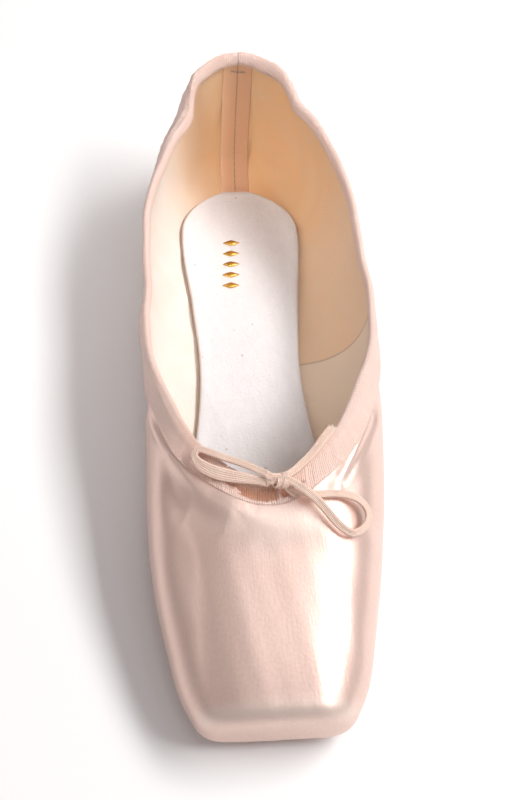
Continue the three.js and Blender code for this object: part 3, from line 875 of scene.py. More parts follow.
def lining(settings):
    """The cotton lining, from the satin's inside to the foot's side."""
    loops = round_places(LINING_ROUND, 0.2)
    loop, v, base = rib_grid(loops, np.linspace(0, 1, LINING_UP)[::-1])
    inside = on_last(loop, v, lining_face(base, loop, v, settings.pleats))
    back_loop, back_v, back_base = rib_grid(loops, np.linspace(0, 1, LINING_BACK_UP))
    back = satin_back(back_base, back_loop, back_v, settings.pleats) - 0.08
    profiles = np.concatenate([on_last(back_loop, back_v, back), inside], 1)

    def padded(values, behind=0.0):
        """Values for the inside, with one value for every point that the satin hides."""
        return np.concatenate([np.full(back_loop.shape, behind), values], 1)

    run = rib_place(loop, v)[0]
    along = base[..., 1] + MIDDLE
    uv = np.stack([padded(collar_place(loop)), padded(run)], -1)
    thing = ring_body("cotton_lining", profiles, uv)
    seam_line = FRONT_SEAM + (PANEL_SEAM - FRONT_SEAM) * ease(-8, 12, inside[..., 0])
    write_attribute(thing, "seam", padded(along - seam_line - 0.12 * (inside[..., 2] - 20), 9.0))
    # Painted shade: darker near the sole opening behind the box, and towards the toe
    painted_depth_shade = 0.8 * (1 - ease(2, 10, run)) * ease(96, 128, along) + 0.9 * (1 - ease(80, 120, along))
    write_attribute(thing, "painted_depth_shade", np.clip(padded(painted_depth_shade), 0, 1))
    # Painted warm shade: rising towards the right wall and the heel, which face away from the light
    turned = ease(-18, 26, inside[..., 0] + 0.48 * np.clip(along - 176, 0, None))
    write_attribute(thing, "painted_warm_shade", padded(turned * (0.72 + 0.28 * ease(178, 215, along))))
    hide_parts("upper")
    return give(thing, lining_look(settings))


HEEL_TAPE_HALF, HEEL_TAPE_EDGE = 5.2, 0.3
HEEL_TAPE_ROWS = np.linspace(0.12, 0.985, 60)
HEEL_TAPE_ACROSS = np.linspace(-HEEL_TAPE_HALF, HEEL_TAPE_HALF, 15)
HEEL_TAPE_HEIGHT = 55
TAPE_EDGE_LEVEL, TAPE_FACE_LEVEL, TAPE_BACK_LEVEL = 0.10, 0.26, 0.04
HEEL_LOOPS = np.linspace(0.46, 0.54, 65)


def heel_strip(rows, offsets, level):
    """Points on the lining, each so many millimetres from the back seam and proud of the cotton."""
    loop, row = np.meshgrid(HEEL_LOOPS, rows)
    v = spread(loop, row)
    base = on_last(loop, v, 0.0)
    lines = on_last(loop, v, lining_face(base, loop, v, 0) - level)
    strip = []
    for line in lines:
        lengths = run_lengths(line)
        at = np.interp(0, -line[:, 0], lengths) - np.asarray(offsets)
        strip.append(np.stack([np.interp(at, lengths, line[:, axis]) for axis in range(3)], -1))
    return np.array(strip)


def heel_tape(settings):
    """The stay tape that covers the back seam inside."""
    rows, across = HEEL_TAPE_ROWS, HEEL_TAPE_ACROSS
    outer = HEEL_TAPE_HALF + HEEL_TAPE_EDGE
    profiles = np.concatenate([
        heel_strip(rows, [-outer], TAPE_EDGE_LEVEL),
        heel_strip(rows, across, TAPE_FACE_LEVEL),
        heel_strip(rows, [outer], TAPE_EDGE_LEVEL),
        heel_strip(rows, across[::-1], TAPE_BACK_LEVEL),
    ], 1)
    along = np.broadcast_to((rows * HEEL_TAPE_HEIGHT)[:, None], profiles.shape[:2])
    from_seam = np.broadcast_to(np.concatenate([[-outer], across, [outer], across[::-1]]), along.shape)
    thing = swept_body("heel_tape", profiles, np.stack([from_seam, along], -1))
    write_attribute(thing, "seam", from_seam)
    cap_tape(thing, profiles.shape[1])
    look = Look("stay tape", settings.stay_tape, 0.85, Sheen_Weight=0.2, Specular_IOR_Level=0.25)
    twill = look.bands(0.5, "DIAGONAL", 0.8)
    seam_at = look.attribute("seam")
    look.tint(
        settings.stay_tape,
        (twill, 0.25, 0.75, 0.12, (0.58, 0.32, 0.19)),
        (seam_at, -1.5, -5.2, 0.7, (0.93, 0.63, 0.42)),
        (look.math("ABSOLUTE", seam_at), 0.4, 0.1, 0.5, (0.36, 0.21, 0.13)),
    )
    look.bump((twill, 0.00006))
    return give(thing, look)


# ---------------------------------------------------------------- collar binding

BINDING_ROUND = 1150
BINDING_EDGE = 0.26
BINDING_TOP, BINDING_CREST = 0.6, 1.5
OUTER, INNER, HIDDEN, UNDER = 3, 2, 1, 0


def binding_look(settings):
    """Knitted ribs across the band, with painted shade in the casing's mouth and at places along the band.
    """
    look = Look("ribbed binding", settings.binding, 0.62, Sheen_Weight=0.35, Sheen_Roughness=0.4,
                Specular_IOR_Level=0.4)
    ribs = look.bands(settings.rib_pitch / MM, "X", 0.5, (1, 0.35, 1))
    look.tint(
        settings.binding,
        (look.noise(5.0, 3), 0.35, 0.7, 0.35, (0.88, 0.62, 0.52)),
        (ribs, 0.7, 0.15, 0.34, (0.72, 0.45, 0.36)),
        # painted shade: the casing's mouth, a patch right of the throat and the band's left side
        (look.attribute("painted_band_shade"), 0, 1, 0.9, (0.60, 0.29, 0.18)),
    )
    look.bump((ribs, 0.00016), (look.bands(0.36, "Y", 0.4), 0.00005), (look.noise(0.6, 2), 0.00004))
    return look


def binding_rows(wall):
    """Each row of the band's profile: how far down, how far out, and whether it shows."""
    far, near = BINDING_FAR, BINDING_NEAR
    middle, radius = (BINDING_EDGE - wall) / 2, (2 * far + BINDING_EDGE + wall) / 2
    rows = []
    for down in np.linspace(BINDING_WIDTH, BINDING_TOP, 24):
        swell = 0.40 * hump(down, 1.9, 1.6)
        hem = 0.14 * hump(down, BINDING_WIDTH - 0.5, 0.5)
        rolled = -0.35 * hump(down, BINDING_WIDTH, 0.22)
        rows.append((down, far + swell + hem + rolled, OUTER))
    for angle in np.linspace(0, math.pi, 11)[1:-1]:
        rows.append((BINDING_TOP - BINDING_CREST * np.sin(angle), middle + radius * np.cos(angle), OUTER))
    for down in np.linspace(BINDING_TOP, BINDING_TURN, 6):
        rows.append((down, -wall - far + 0.3 * hump(down, BINDING_TURN, 0.3), INNER))
    for down in np.linspace(BINDING_TURN, BINDING_TOP, 3):
        rows.append((down, -wall - near, HIDDEN))
    rows.append((0.25, -wall / 2, HIDDEN))
    for down in np.linspace(BINDING_TOP, BINDING_WIDTH, 8):
        rows.append((down, near, UNDER))
    return rows


def tight_gathers(place):
    """The fine gathers that the drawstring pulls into the casing."""
    return ripple(place, 0.95, 51, 3)


def band_gathers(place, along):
    """The gathers of the band: fine and tight at the throat, loose elsewhere."""
    drawn = hump(place, MOUTH_MIDDLE, 24)
    loose = 0.20 * ripple(place, 3.4, 52) * (0.3 + 0.45 * drawn + 0.6 * ease(170, 215, along))
    return 0.13 * tight_gathers(place) * drawn**2 + loose


def band_face(loop, down, grow):
    """How far the band's face stands off the last, apart from the rim's pulls."""
    place = collar_place(loop)
    face = grow + band_gathers(place, collar_along(loop)) + binding_wave(loop)[0] - 1.35 * mouth(place, down)
    return np.maximum(face, np.where(down > 0.9, satin_under(loop, down) + 0.30, -9))


def collar_binding(settings):
    """The ribbed band over the edge, with the casing's mouth where the drawstring comes out."""
    loops = round_places(BINDING_ROUND, 1.7)
    out, up = binding_wave(loops)
    along = collar_along(loops)
    rows = binding_rows(cloth_wall(along, 0.0))
    down, grow = (np.stack([np.broadcast_to(row[k], loops.shape) for row in rows], 1) for k in (0, 1))
    kind = np.array([row[2] for row in rows])[None, :]
    loop = np.broadcast_to(loops[:, None], down.shape)
    place = np.broadcast_to(collar_place(loops)[:, None], down.shape)
    outer = band_face(loop, down, grow)
    inner = grow - band_gathers(place, along[:, None]) * 0.8 + out[:, None]
    under = np.minimum(outer - 0.3, grow + np.minimum(satin_under(loop, down), 0))
    shift = np.select([kind == OUTER, kind == INNER, kind == UNDER], [outer, inner, under], grow)
    lift = up[:, None] * np.exp(-np.clip(down, 0, None) / 3.5)
    profiles = on_last(loop, from_collar(loop, down - lift), shift + rim_pull(place, down))
    uv = np.stack([place, down - 8.0 * (kind == INNER)], -1)
    thing = ring_body("binding", profiles, uv)
    # Painted shade in the recessed mouth of the casing, and beside it on the right
    shade = 1.5 * mouth(place, down) * (0.82 + 0.18 * np.clip(tight_gathers(place) * 2, -1, 1))
    rim_shade = 0.35 * hump(place, 7.5, 4) * hump(down, 1.0, 2)
    # Painted shade on the band's left side, left of the throat
    left_band_shade = 0.26 * hump(place, -26, 14)
    write_attribute(thing, "painted_band_shade", np.clip((shade + rim_shade + left_band_shade) * (kind == OUTER), 0, 1))
    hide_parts("collar_binding")
    return give(thing, binding_look(settings))


def satin_under(loop, down):
    """How far the satin stands off the last under the binding, apart from the rim's pulls."""
    v = from_collar(loop, np.clip(down, 0, None))
    points = on_last(loop, v, 0.0)
    return folds(WALL_FOLDS, points) + folds(SATIN_FOLDS, points) - 1.6 * mouth(collar_place(loop), down)


# ---------------------------------------------------------------- drawstring
#
# Each run: its points, and which way (x, y, z) its flat face looks at some parts of its length.

TAPE_WALL = 1.5
TAPE_STEP = 0.45
TAPE_AROUND = 20
FINE_STEPS = 24
LOOP_LEFT = [
    (0.2, -50.0, 50.6), (-3.0, -48.9, 50.6), (-8.9, -47.4, 50.3), (-15.3, -45.5, 49.9),
    (-19.3, -43.4, 49.6), (-21.9, -40.9, 49.3), (-23.0, -38.3, 49.3), (-21.4, -36.5, 49.9),
    (-17.6, -38.3, 50.7), (-13.6, -40.5, 51.2), (-8.4, -42.9, 51.7), (-3.6, -45.7, 52.3),
    (-0.2, -48.0, 52.9),
]
LOOP_RIGHT = [
    (7.3, -51.3, 49.9), (12.7, -53.5, 49.1), (16.2, -53.6, 48.7), (20.5, -53.2, 48.0),
    (24.7, -53.2, 46.9), (28.4, -54.0, 45.4), (31.0, -55.8, 43.5), (32.0, -58.4, 42.1),
    (30.9, -61.5, 41.6), (28.7, -63.8, 42.0), (26.1, -64.8, 42.8), (23.4, -63.8, 44.0),
    (20.6, -61.5, 45.6), (17.5, -58.2, 47.8), (14.3, -55.7, 50.8), (11.2, -53.6, 52.4),
    (7.8, -51.0, 52.6),
]
FREE_END = [
    (8.8, -53.2, 48.3), (7.3, -52.3, 49.0), (5.6, -50.6, 49.9), (5.4, -48.6, 51.0), (7.0, -47.2, 51.6),
    (8.6, -46.1, 51.6), (10.2, -44.6, 51.5), (13.6, -41.4, 51.4), (16.8, -37.6, 51.6),
    (19.3, -34.4, 51.6), (21.5, -31.6, 51.6),
]
LEFT_FACES = [
    (0, 0, -0.5, 0.85), (0.3, 0.1, -0.6, 0.8), (0.46, -0.5, -0.4, 0.8), (0.54, -0.6, 0.1, 0.8),
    (0.7, 0.1, -0.1, 1.0), (1, 0.1, -0.4, 0.9),
]
RIGHT_FACES = [
    (0, 0, -0.3, 0.95), (0.2, 0, -0.1, 1.0), (0.4, 0.45, -0.1, 0.9), (0.5, 0.5, -0.5, 0.7),
    (0.62, 0.1, -0.8, 0.6), (0.8, -0.25, -0.5, 0.8), (1, 0, -0.4, 0.9),
]
END_FACES = [(0, 0, -0.5, 0.85), (0.35, -0.2, -0.4, 0.9), (0.7, -0.5, -0.2, 0.8), (1, -0.3, -0.4, 0.85)]
TURN_FACES = [(0, 0, -0.5, 0.85), (1, 0, -0.5, 0.85)]
# How much wider than its plain width each run lies, from its start to its end.
LEFT_WIDER = [(0, 0.9), (0.12, 1.25), (0.28, 1.65), (0.42, 1.45), (0.5, 1.0), (0.6, 0.95), (1, 0.9)]
RIGHT_WIDER = [(0, 0.9), (0.3, 1.0), (0.5, 1.0), (0.7, 1.1), (1, 1.0)]
END_WIDER = [(0, 0.9), (0.5, 1.0), (1, 1.15)]
TURN_WIDER = [(0, 1), (1, 1)]
# Turns of the knot: the tape that crosses over it, the one behind, and the bar that holds them.
KNOT_OVER = [
    (-0.8, -49.6, 50.9), (1.6, -49.6, 51.9), (4.2, -49.9, 52.9), (6.8, -50.6, 53.1), (9.0, -51.8, 52.7),
]
KNOT_BEHIND = [
    (-1.4, -47.4, 52.6), (1.2, -48.6, 52.4), (3.8, -48.3, 51.6), (6.4, -47.6, 51.7), (8.2, -46.4, 51.6),
]
KNOT_BAR = (4.1, -49.7, 51.4)
TURN_WIDTH, TURN_WALL = 2.5, 1.3
BAR_STEPS = 25
# Wraps of the bar: where across the knot, radii in y and z, width.
BAR_WRAPS = ((0.7, 2.3, 1.9, 2.2), (-1.3, 2.0, 1.6, 1.8))
BAR_START = 0.3
BAR_WALL = 0.9
FRAY_THREADS = 46
FRAY_THICK = 0.13


def curve_through(points):
    """A smooth line through points, at even steps, and its length."""
    points = np.array(points, float)
    ends = np.vstack([2 * points[0] - points[1], points, 2 * points[-1] - points[-2]])
    fine = []
    for i in range(1, len(ends) - 2):
        a, b, c, d = ends[i - 1 : i + 3]
        t = np.linspace(0, 1, FINE_STEPS, endpoint=False)[:, None]
        fine.append(b + 0.5 * t * (c - a) + t**2 * (a - 2.5 * b + 2 * c - 0.5 * d)
                    + t**3 * (1.5 * (b - c) + 0.5 * (d - a)))
    fine = np.vstack([*fine, ends[-2]])
    lengths = run_lengths(fine)
    even = np.linspace(0, lengths[-1], max(4, round(lengths[-1] / TAPE_STEP)))
    return np.stack([np.interp(even, lengths, fine[:, k]) for k in range(3)], 1), lengths[-1]


def tape_section(width, wall):
    """A soft flattened tube's section: two rolled edges with a hollow between them."""
    angle = np.linspace(0, 2 * math.pi, TAPE_AROUND, endpoint=False)
    side, face = np.cos(angle), np.sin(angle)
    hollow = 1 - 0.42 * hump(side, 0, 0.42)
    return side * width / 2, np.sign(face) * np.abs(face) ** 0.75 * wall / 2 * hollow


def tape(name, points, faces, width, wall, spread_at):
    """A tape along a line, its face looking the ways given, flattened wider where it lies flat."""
    line, length = curve_through(points)
    way = unit(np.gradient(line, axis=0))
    at = np.linspace(0, 1, len(line))
    keys, *looks = np.array(faces, float).T
    face = np.stack([np.interp(at, keys, look) for look in looks], 1)
    face = unit(face - (face * way).sum(1, keepdims=True) * way)
    side = np.cross(way, face)
    across, off = tape_section(width, wall)
    wider = smooth(columns("at wider", spread_at), "at", "wider", at)[:, None, None]
    rings = line[:, None] + side[:, None] * across[None, :, None] * wider
    rings = rings + face[:, None] * off[None, :, None] / wider**0.5
    uv = np.stack(np.broadcast_arrays((at * length)[:, None], across[None, :]), -1)
    thing = swept_body(name, rings, uv)
    cap_tape(thing, len(across))
    return thing, line, length


def tape_look(settings):
    """Knitted tape, with painted shade between its wales."""
    look = Look("drawstring tape", settings.drawstring, 0.6, Sheen_Weight=0.15, Sheen_Roughness=0.4)
    wales = look.bands(0.42, "Y", 0.5)
    look.tint(
        settings.drawstring,
        (look.noise(3.0, 3), 0.35, 0.7, 0.3, (0.93, 0.63, 0.50)),
        # painted shade in the crevices between the wales
        (wales, 0.6, 0.1, 0.4, (0.86, 0.49, 0.33)),
    )
    look.bump((look.bands(0.5, "X", 0.8), 0.00009), (wales, 0.00012))
    return look


def knot_turns():
    """The knot's own pieces of tape, as one mesh."""
    turns = [
        tape(name, points, TURN_FACES, TURN_WIDTH, TURN_WALL, TURN_WIDER)[0]
        for name, points in (("turn_over", KNOT_OVER), ("turn_behind", KNOT_BEHIND))
    ]
    angle = np.linspace(BAR_START, BAR_START + 2 * math.pi, BAR_STEPS + 1)
    for across, radius_y, radius_z, width in BAR_WRAPS:
        lean = 0.8 * np.sin(angle)
        round_bar = np.stack([across + lean, radius_y * np.cos(angle), radius_z * np.sin(angle)], 1)
        share = np.linspace(0, 1, BAR_STEPS + 1)
        faces = np.stack([share, 0 * share, np.cos(angle) / radius_y, np.sin(angle) / radius_z], 1)
        turns.append(tape(f"turn_{width}", round_bar + KNOT_BAR, faces, width, BAR_WALL, TURN_WIDER)[0])
    return join(turns, "bow_knot")


def drawstring(settings):
    """The bow: two loops, a free end with a frayed cut, and the wraps of the knot."""
    width = settings.tape_width / MM
    look = tape_look(settings)
    runs = []
    for name, node, points, faces, wider in (
        ("bow_loop_left", "drawstring_loop_left", LOOP_LEFT, LEFT_FACES, LEFT_WIDER),
        ("bow_loop_right", "drawstring_loop_right", LOOP_RIGHT, RIGHT_FACES, RIGHT_WIDER),
        ("bow_end", "drawstring_end", FREE_END, END_FACES, END_WIDER),
    ):
        thing, line, length = tape(name, points, faces, width, TAPE_WALL, wider)
        give(thing, look)
        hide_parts(node)
        runs.append((thing, line, length))
    knot = give(knot_turns(), look)
    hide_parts("drawstring_knot")
    fray = frayed_end(runs[-1][1], width)


def join(things, name):
    """Several like pieces as one."""
    with bpy.context.temp_override(active_object=things[0], selected_editable_objects=things):
        bpy.ops.object.join()
    things[0].name = name
    return things[0]


def frayed_end(line, width):
    """Loose threads at the cut end of the tape."""
    rng = np.random.default_rng(8)
    tip, way = line[-1], unit(line[-1] - line[-4])
    side = unit(np.cross(way, (-0.3, -0.4, 0.85)))
    face = np.cross(side, way)
    spots, quads = [], []
    for _ in range(FRAY_THREADS):
        at = tip + side * rng.uniform(-0.5, 0.5) * width + face * rng.uniform(-0.3, 0.3) - way * 0.8
        reach_out = rng.uniform(1.2, 2.6)
        drift = side * rng.normal(0, 0.5) + face * rng.normal(0, 0.4)
        base = len(spots)
        bend, end = at + way * reach_out * 0.5 + drift * 0.3, at + way * reach_out + drift
        for k, spot in enumerate((at, bend, end)):
            r = FRAY_THICK * (1 - 0.35 * k)
            spots += [spot + side * r, spot + face * r, spot - side * r, spot - face * r]
        quads += [tuple(quad) for quad in base + ring_faces(3, 4, closed_ring=False)[:, [0, 3, 2, 1]]]
        quads += [(base + 3, base + 2, base + 1, base), (base + 8, base + 9, base + 10, base + 11)]
    thing = make_object("bow_fray", spots, quads, None)
    look = Look("frayed threads", (0.93, 0.82, 0.76), 0.8, Sheen_Weight=0.4)
    look.paint(Base_Color=look.blend(look.noise(1.2, 2), (0.95, 0.86, 0.80), (0.85, 0.60, 0.48)))
    return give(thing, look)


# ---------------------------------------------------------------- sock and sole

SOLE_CHANNEL = 4.2
SOCK_GRID, OUTSOLE_GRID = (190, 44), (260, 60)
FOIL_COUNT = 5
FOIL_SIDES = 24
FOIL_FIRST, FOIL_LAST = 175.5, 196.0
FOIL_X, FOIL_DRIFT = -4.6, 1.3
FOIL_SIZE = (3.2, 1.35)
FOIL_POWER = 1.15
FOIL_RIM, FOIL_MIDDLE = (0.32, -0.03), (0.34, -0.05)


def plate_half(table, start, end, along):
    """Half the width of a plate with a round tip and seat."""
    front = np.clip((start + TIP_ROUND - along) / TIP_ROUND, 0, 1)
    back = np.clip((along - end + SEAT_ROUND) / SEAT_ROUND, 0, 1)
    round_ends = np.sqrt(np.maximum(0, 1 - front**2)) * np.sqrt(np.maximum(0, 1 - back**2))
    return smooth(table, "along", "half", along) * round_ends


def plate(name, table, start, end, layers, grid):
    """A thin body between two height functions of (x, along, distance in from the edge)."""
    steps, across = grid
    eased = (1 - np.cos(math.pi * (np.arange(steps + 1) + 0.35) / (steps + 0.7))) / 2
    along = (start + (end - start) * eased)[:, None]
    spots = np.sin(np.linspace(-math.pi / 2, math.pi / 2, across + 1))[None, :]
    half = plate_half(table, start, end, along)
    x = half * spots
    inside = np.minimum(half * (1 - np.abs(spots)), np.minimum(along - start, end - along))
    along = np.broadcast_to(along, x.shape)
    sheets = [np.stack([x, along - MIDDLE, layer(x, along, inside)], -1) for layer in layers]
    rings = np.concatenate([sheets[0], sheets[1][:, ::-1]], 1)
    thing = swept_body(name, rings, rings[..., :2])
    cap_plate(thing, rings.shape[1])
    # The board's brown underneath and at the rim, with painted shade making the left rim darker than the
    # right
    rim = hump(inside, 0, 0.75) * np.where(x < 0, 1.0, 0.35)
    write_attribute(thing, "board_and_left_shade", np.concatenate([rim, np.ones_like(rim)], 1))
    return thing


def sock(settings):
    """The sock lining: suede over a board, its edge a little raised off the cotton."""

    def low(x, along, inside):
        return underside(x, along, wall_at(along)) + FIT_GAP

    def top(x, along, inside):
        edge = -1.0 * np.exp(-inside / 0.55)
        waves = 0.22 * ripple(along + 0.4 * x, 34, 61) + 0.10 * ripple(x * 1.3 - along * 0.4, 13, 62)
        cup = 0.35 * hump(inside, 2.2, 1.6)
        return low(x, along, inside) + SOCK_THICKNESS + edge + waves * ease(1, 6, inside) + cup

    thing = plate("suede_sock", SOCK, SOCK_START, SOCK_END, (top, low), SOCK_GRID)
    look = Look("suede sock", settings.sock, 0.95, Sheen_Weight=0.5, Sheen_Roughness=0.5,
                Specular_IOR_Level=0.15)
    nap = look.noise(0.9, 4)
    brushed = look.noise(2.6, 4, (1, 0.45, 1))
    flecks = look.noise(0.62, 1)
    dots = add(look.nodes, "ShaderNodeTexVoronoi", Scale=1 / 9.0)
    look.links.new(look.place(), dots.inputs["Vector"])
    look.tint(
        settings.sock,
        (nap, 0.35, 0.7, 0.45, (0.76, 0.72, 0.72)),
        (brushed, 0.42, 0.68, 0.35, (0.86, 0.83, 0.84)),
        (look.noise(17.0, 3), 0.4, 0.7, 0.2, (0.74, 0.71, 0.73)),
        (flecks, 0.73, 0.77, 0.5, (0.36, 0.30, 0.27)),
        (dots.outputs["Distance"], 0.055, 0.035, 0.5, (0.25, 0.20, 0.18)),
        # the board's brown at the rim and underneath, with painted shade along the left rim
        (look.attribute("board_and_left_shade"), 0.1, 0.9, 1, (0.36, 0.22, 0.13)),
    )
    look.bump((brushed, 0.0002), (nap, 0.0002), (flecks, 0.0001))
    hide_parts("insole")
    return give(thing, look)


def on_sock(x, along, above):
    """A point so many millimetres above the sock's plain top."""
    base = underside(np.array(x), np.array(along), QUARTER_WALL) + FIT_GAP
    return x, along - MIDDLE, float(base) + SOCK_THICKNESS + above


def foil_marks(settings):
    """A column of plain gold lozenges stamped into the sock."""
    angle = np.linspace(0, 2 * math.pi, FOIL_SIDES, endpoint=False)
    across, back = np.cos(angle), np.sin(angle)
    size = 1 / (np.abs(across) ** FOIL_POWER + np.abs(back) ** FOIL_POWER) ** (1 / FOIL_POWER)
    outline = np.stack([FOIL_SIZE[0] * size * across, FOIL_SIZE[1] * size * back], 1)
    spots, triangles = [], []
    for i, along in enumerate(np.linspace(FOIL_FIRST, FOIL_LAST, FOIL_COUNT)):
        x = FOIL_X + FOIL_DRIFT * i / (FOIL_COUNT - 1)
        start = len(spots)
        middle = start + 2 * FOIL_SIDES
        for above in FOIL_RIM:
            spots += [on_sock(x + dx, along + dy, above) for dx, dy in outline]
        spots += [on_sock(x, along, above) for above in FOIL_MIDDLE]
        for k in range(FOIL_SIDES):
            top, top_after = start + k, start + (k + 1) % FOIL_SIDES
            low, low_after = top + FOIL_SIDES, top_after + FOIL_SIDES
            triangles += [(top, top_after, middle), (low_after, low, middle + 1)]
            triangles += [(low, low_after, top_after), (low, top_after, top)]
    thing = make_object("foil_lozenges", spots, triangles, None)
    look = Look("gold foil", settings.foil, 0.28, Metallic=1.0)
    crackle = look.noise(0.5, 3)
    look.tint(settings.foil, (crackle, 0.3, 0.75, 0.8, (0.55, 0.27, 0.05)))
    look.paint(Roughness=look.fit(crackle, 0.3, 0.7, 0.2, 0.5))
    look.bump((crackle, 0.00012))
    return give(thing, look)


def tread(x, along):
    """How high the outsole's underside is: flat on the floor under the ball and the heel."""
    return np.maximum(0, underside(x, along, 0.0) - FIT_GAP - SOLE_THICKNESS - FLAT_DEPTH)


def outsole(settings):
    """The leather outsole, with a thinned edge and a stitched channel underneath."""

    def top(x, along, inside):
        return underside(x, along, 0.0) - FIT_GAP - 0.25 * np.exp(-inside / 0.5)

    def low(x, along, inside):
        skived = 1.1 * np.exp(-inside / 1.1)
        groove = 0.55 * hump(inside, SOLE_CHANNEL, 0.45)
        return tread(x, along) + skived + groove

    thing = plate("leather_outsole", OUTSOLE, OUTSOLE_START, OUTSOLE_END,
                  (top, low), OUTSOLE_GRID)
    look = Look("sole leather", settings.sole, 0.7, Specular_IOR_Level=0.35)
    grain = look.noise(0.7, 5)
    drag = look.noise(2.2, 3, (1, 0.12, 1))
    look.tint(
        settings.sole,
        (grain, 0.3, 0.7, 0.35, (0.48, 0.33, 0.22)),
        (look.noise(24.0, 3), 0.35, 0.7, 0.4, (0.72, 0.55, 0.40)),
        (drag, 0.5, 0.7, 0.3, (0.45, 0.32, 0.23)),
        (look.split(look.place())[2], 0.9, 0.0, 0.35, (0.52, 0.42, 0.34)),
    )
    look.bump((grain, 0.00025), (drag, 0.0001))
    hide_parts("outsole")
    return give(thing, look)


# ---------------------------------------------------------------- stitches

HEM_STEPS, CHANNEL_STEPS, TACK_STEPS = 901, 160, 15
HEM_STITCH = {"Pitch": 1.9, "Length": 1.25, "Thickness": 0.26}
BACK_SEAM_LEVEL, TACK_LEVEL = 0.33, 0.36


def stitch_tree():
    """Geometry Nodes: stitches of one thread along a path."""
    tree = bpy.data.node_groups.new("stitch row", "GeometryNodeTree")
    for name, way, kind, default in (
        ("Path", "INPUT", "Geometry", None), ("Pitch", "INPUT", "Float", 0.002),
        ("Length", "INPUT", "Float", 0.0014), ("Thickness", "INPUT", "Float", 0.0003),
        ("Unevenness", "INPUT", "Float", 0.12), ("Seed", "INPUT", "Int", None),
        ("Thread", "INPUT", "Material", None), ("Stitches", "OUTPUT", "Geometry", None),
    ):
        socket = tree.interface.new_socket(name=name, in_out=way, socket_type="NodeSocket" + kind)
        if default:
            socket.default_value = default
    nodes = tree.nodes
    given = add(nodes, "NodeGroupInput")
    result = add(nodes, "NodeGroupOutput")
    curve = add(nodes, "GeometryNodeMeshToCurve")
    even = add(nodes, "GeometryNodeResampleCurve", mode="LENGTH")
    tangent = add(nodes, "GeometryNodeInputTangent")
    aim = add(nodes, "FunctionNodeAlignRotationToVector", axis="X")
    ball = add(nodes, "GeometryNodeMeshUVSphere", Segments=6, Rings=5, Radius=0.5)
    size = add(nodes, "ShaderNodeCombineXYZ")
    shape = add(nodes, "GeometryNodeTransform")
    low = add(nodes, "ShaderNodeMath", operation="SUBTRACT")
    low.inputs[0].default_value = 1.0
    varied = add(nodes, "FunctionNodeRandomValue", data_type="FLOAT")
    scatter = add(nodes, "GeometryNodeInstanceOnPoints")
    real = add(nodes, "GeometryNodeRealizeInstances")
    smooth_all = add(nodes, "GeometryNodeSetShadeSmooth")
    paint = add(nodes, "GeometryNodeSetMaterial")
    for source, out, target, into in (
        (given, "Path", curve, "Mesh"), (curve, "Curve", even, "Curve"), (given, "Pitch", even, "Length"),
        (tangent, "Tangent", aim, "Vector"), (given, "Length", size, "X"),
        (given, "Thickness", size, "Y"), (given, "Thickness", size, "Z"),
        (ball, "Mesh", shape, "Geometry"), (size, "Vector", shape, "Scale"),
        (given, "Unevenness", low, 1), (given, "Seed", varied, "Seed"),
        (even, "Curve", scatter, "Points"), (shape, "Geometry", scatter, "Instance"),
        (aim, "Rotation", scatter, "Rotation"), (scatter, "Instances", real, "Geometry"),
        (real, "Geometry", smooth_all, "Geometry"), (smooth_all, "Geometry", paint, "Geometry"),
        (given, "Thread", paint, "Material"), (paint, "Geometry", result, "Stitches"),
    ):
        tree.links.new(source.outputs[out], target.inputs[into])
    lowest = next(s for s in varied.inputs if s.name == "Min" and s.type == "VALUE")
    tree.links.new(low.outputs[0], lowest)
    number = next(s for s in varied.outputs if s.type == "VALUE")
    tree.links.new(number, scatter.inputs["Scale"])
    return tree


def stitch_row(tree, name, points, thread, seed, **sizes):
    """One row of stitches as a plain mesh."""
    given = {"Thread": thread, "Seed": seed, **{key: size * MM for key, size in sizes.items()}}
    path = bpy.data.meshes.new(name + "_path")
    edges = [(i, i + 1) for i in range(len(points) - 1)]
    path.from_pydata([tuple(p) for p in to_row(points)], edges, [])
    holder = bpy.data.objects.new(name, path)
    bpy.context.scene.collection.objects.link(holder)
    modifier = holder.modifiers.new("stitches", "NODES")
    modifier.node_group = tree
    for item in tree.interface.items_tree:
        if item.name in given:
            modifier[item.identifier] = given[item.name]
    holder.update_tag()
    bpy.context.view_layer.update()
    graph = bpy.context.evaluated_depsgraph_get()
    stitched = bpy.data.meshes.new_from_object(holder.evaluated_get(graph))
    holder.modifiers.clear()
    holder.data = stitched
    stitched.name = name
    stitched.materials.clear()
    stitched.materials.append(thread)
    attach(holder, "root")


def thread_look(name, colour):
    """A spun thread, a little darker in places."""
    look = Look(name, colour, 0.55, Sheen_Weight=0.3)
    look.paint(Base_Color=look.blend(look.noise(0.8, 2), colour, [c * 0.7 for c in colour[:3]]))
    return look.made


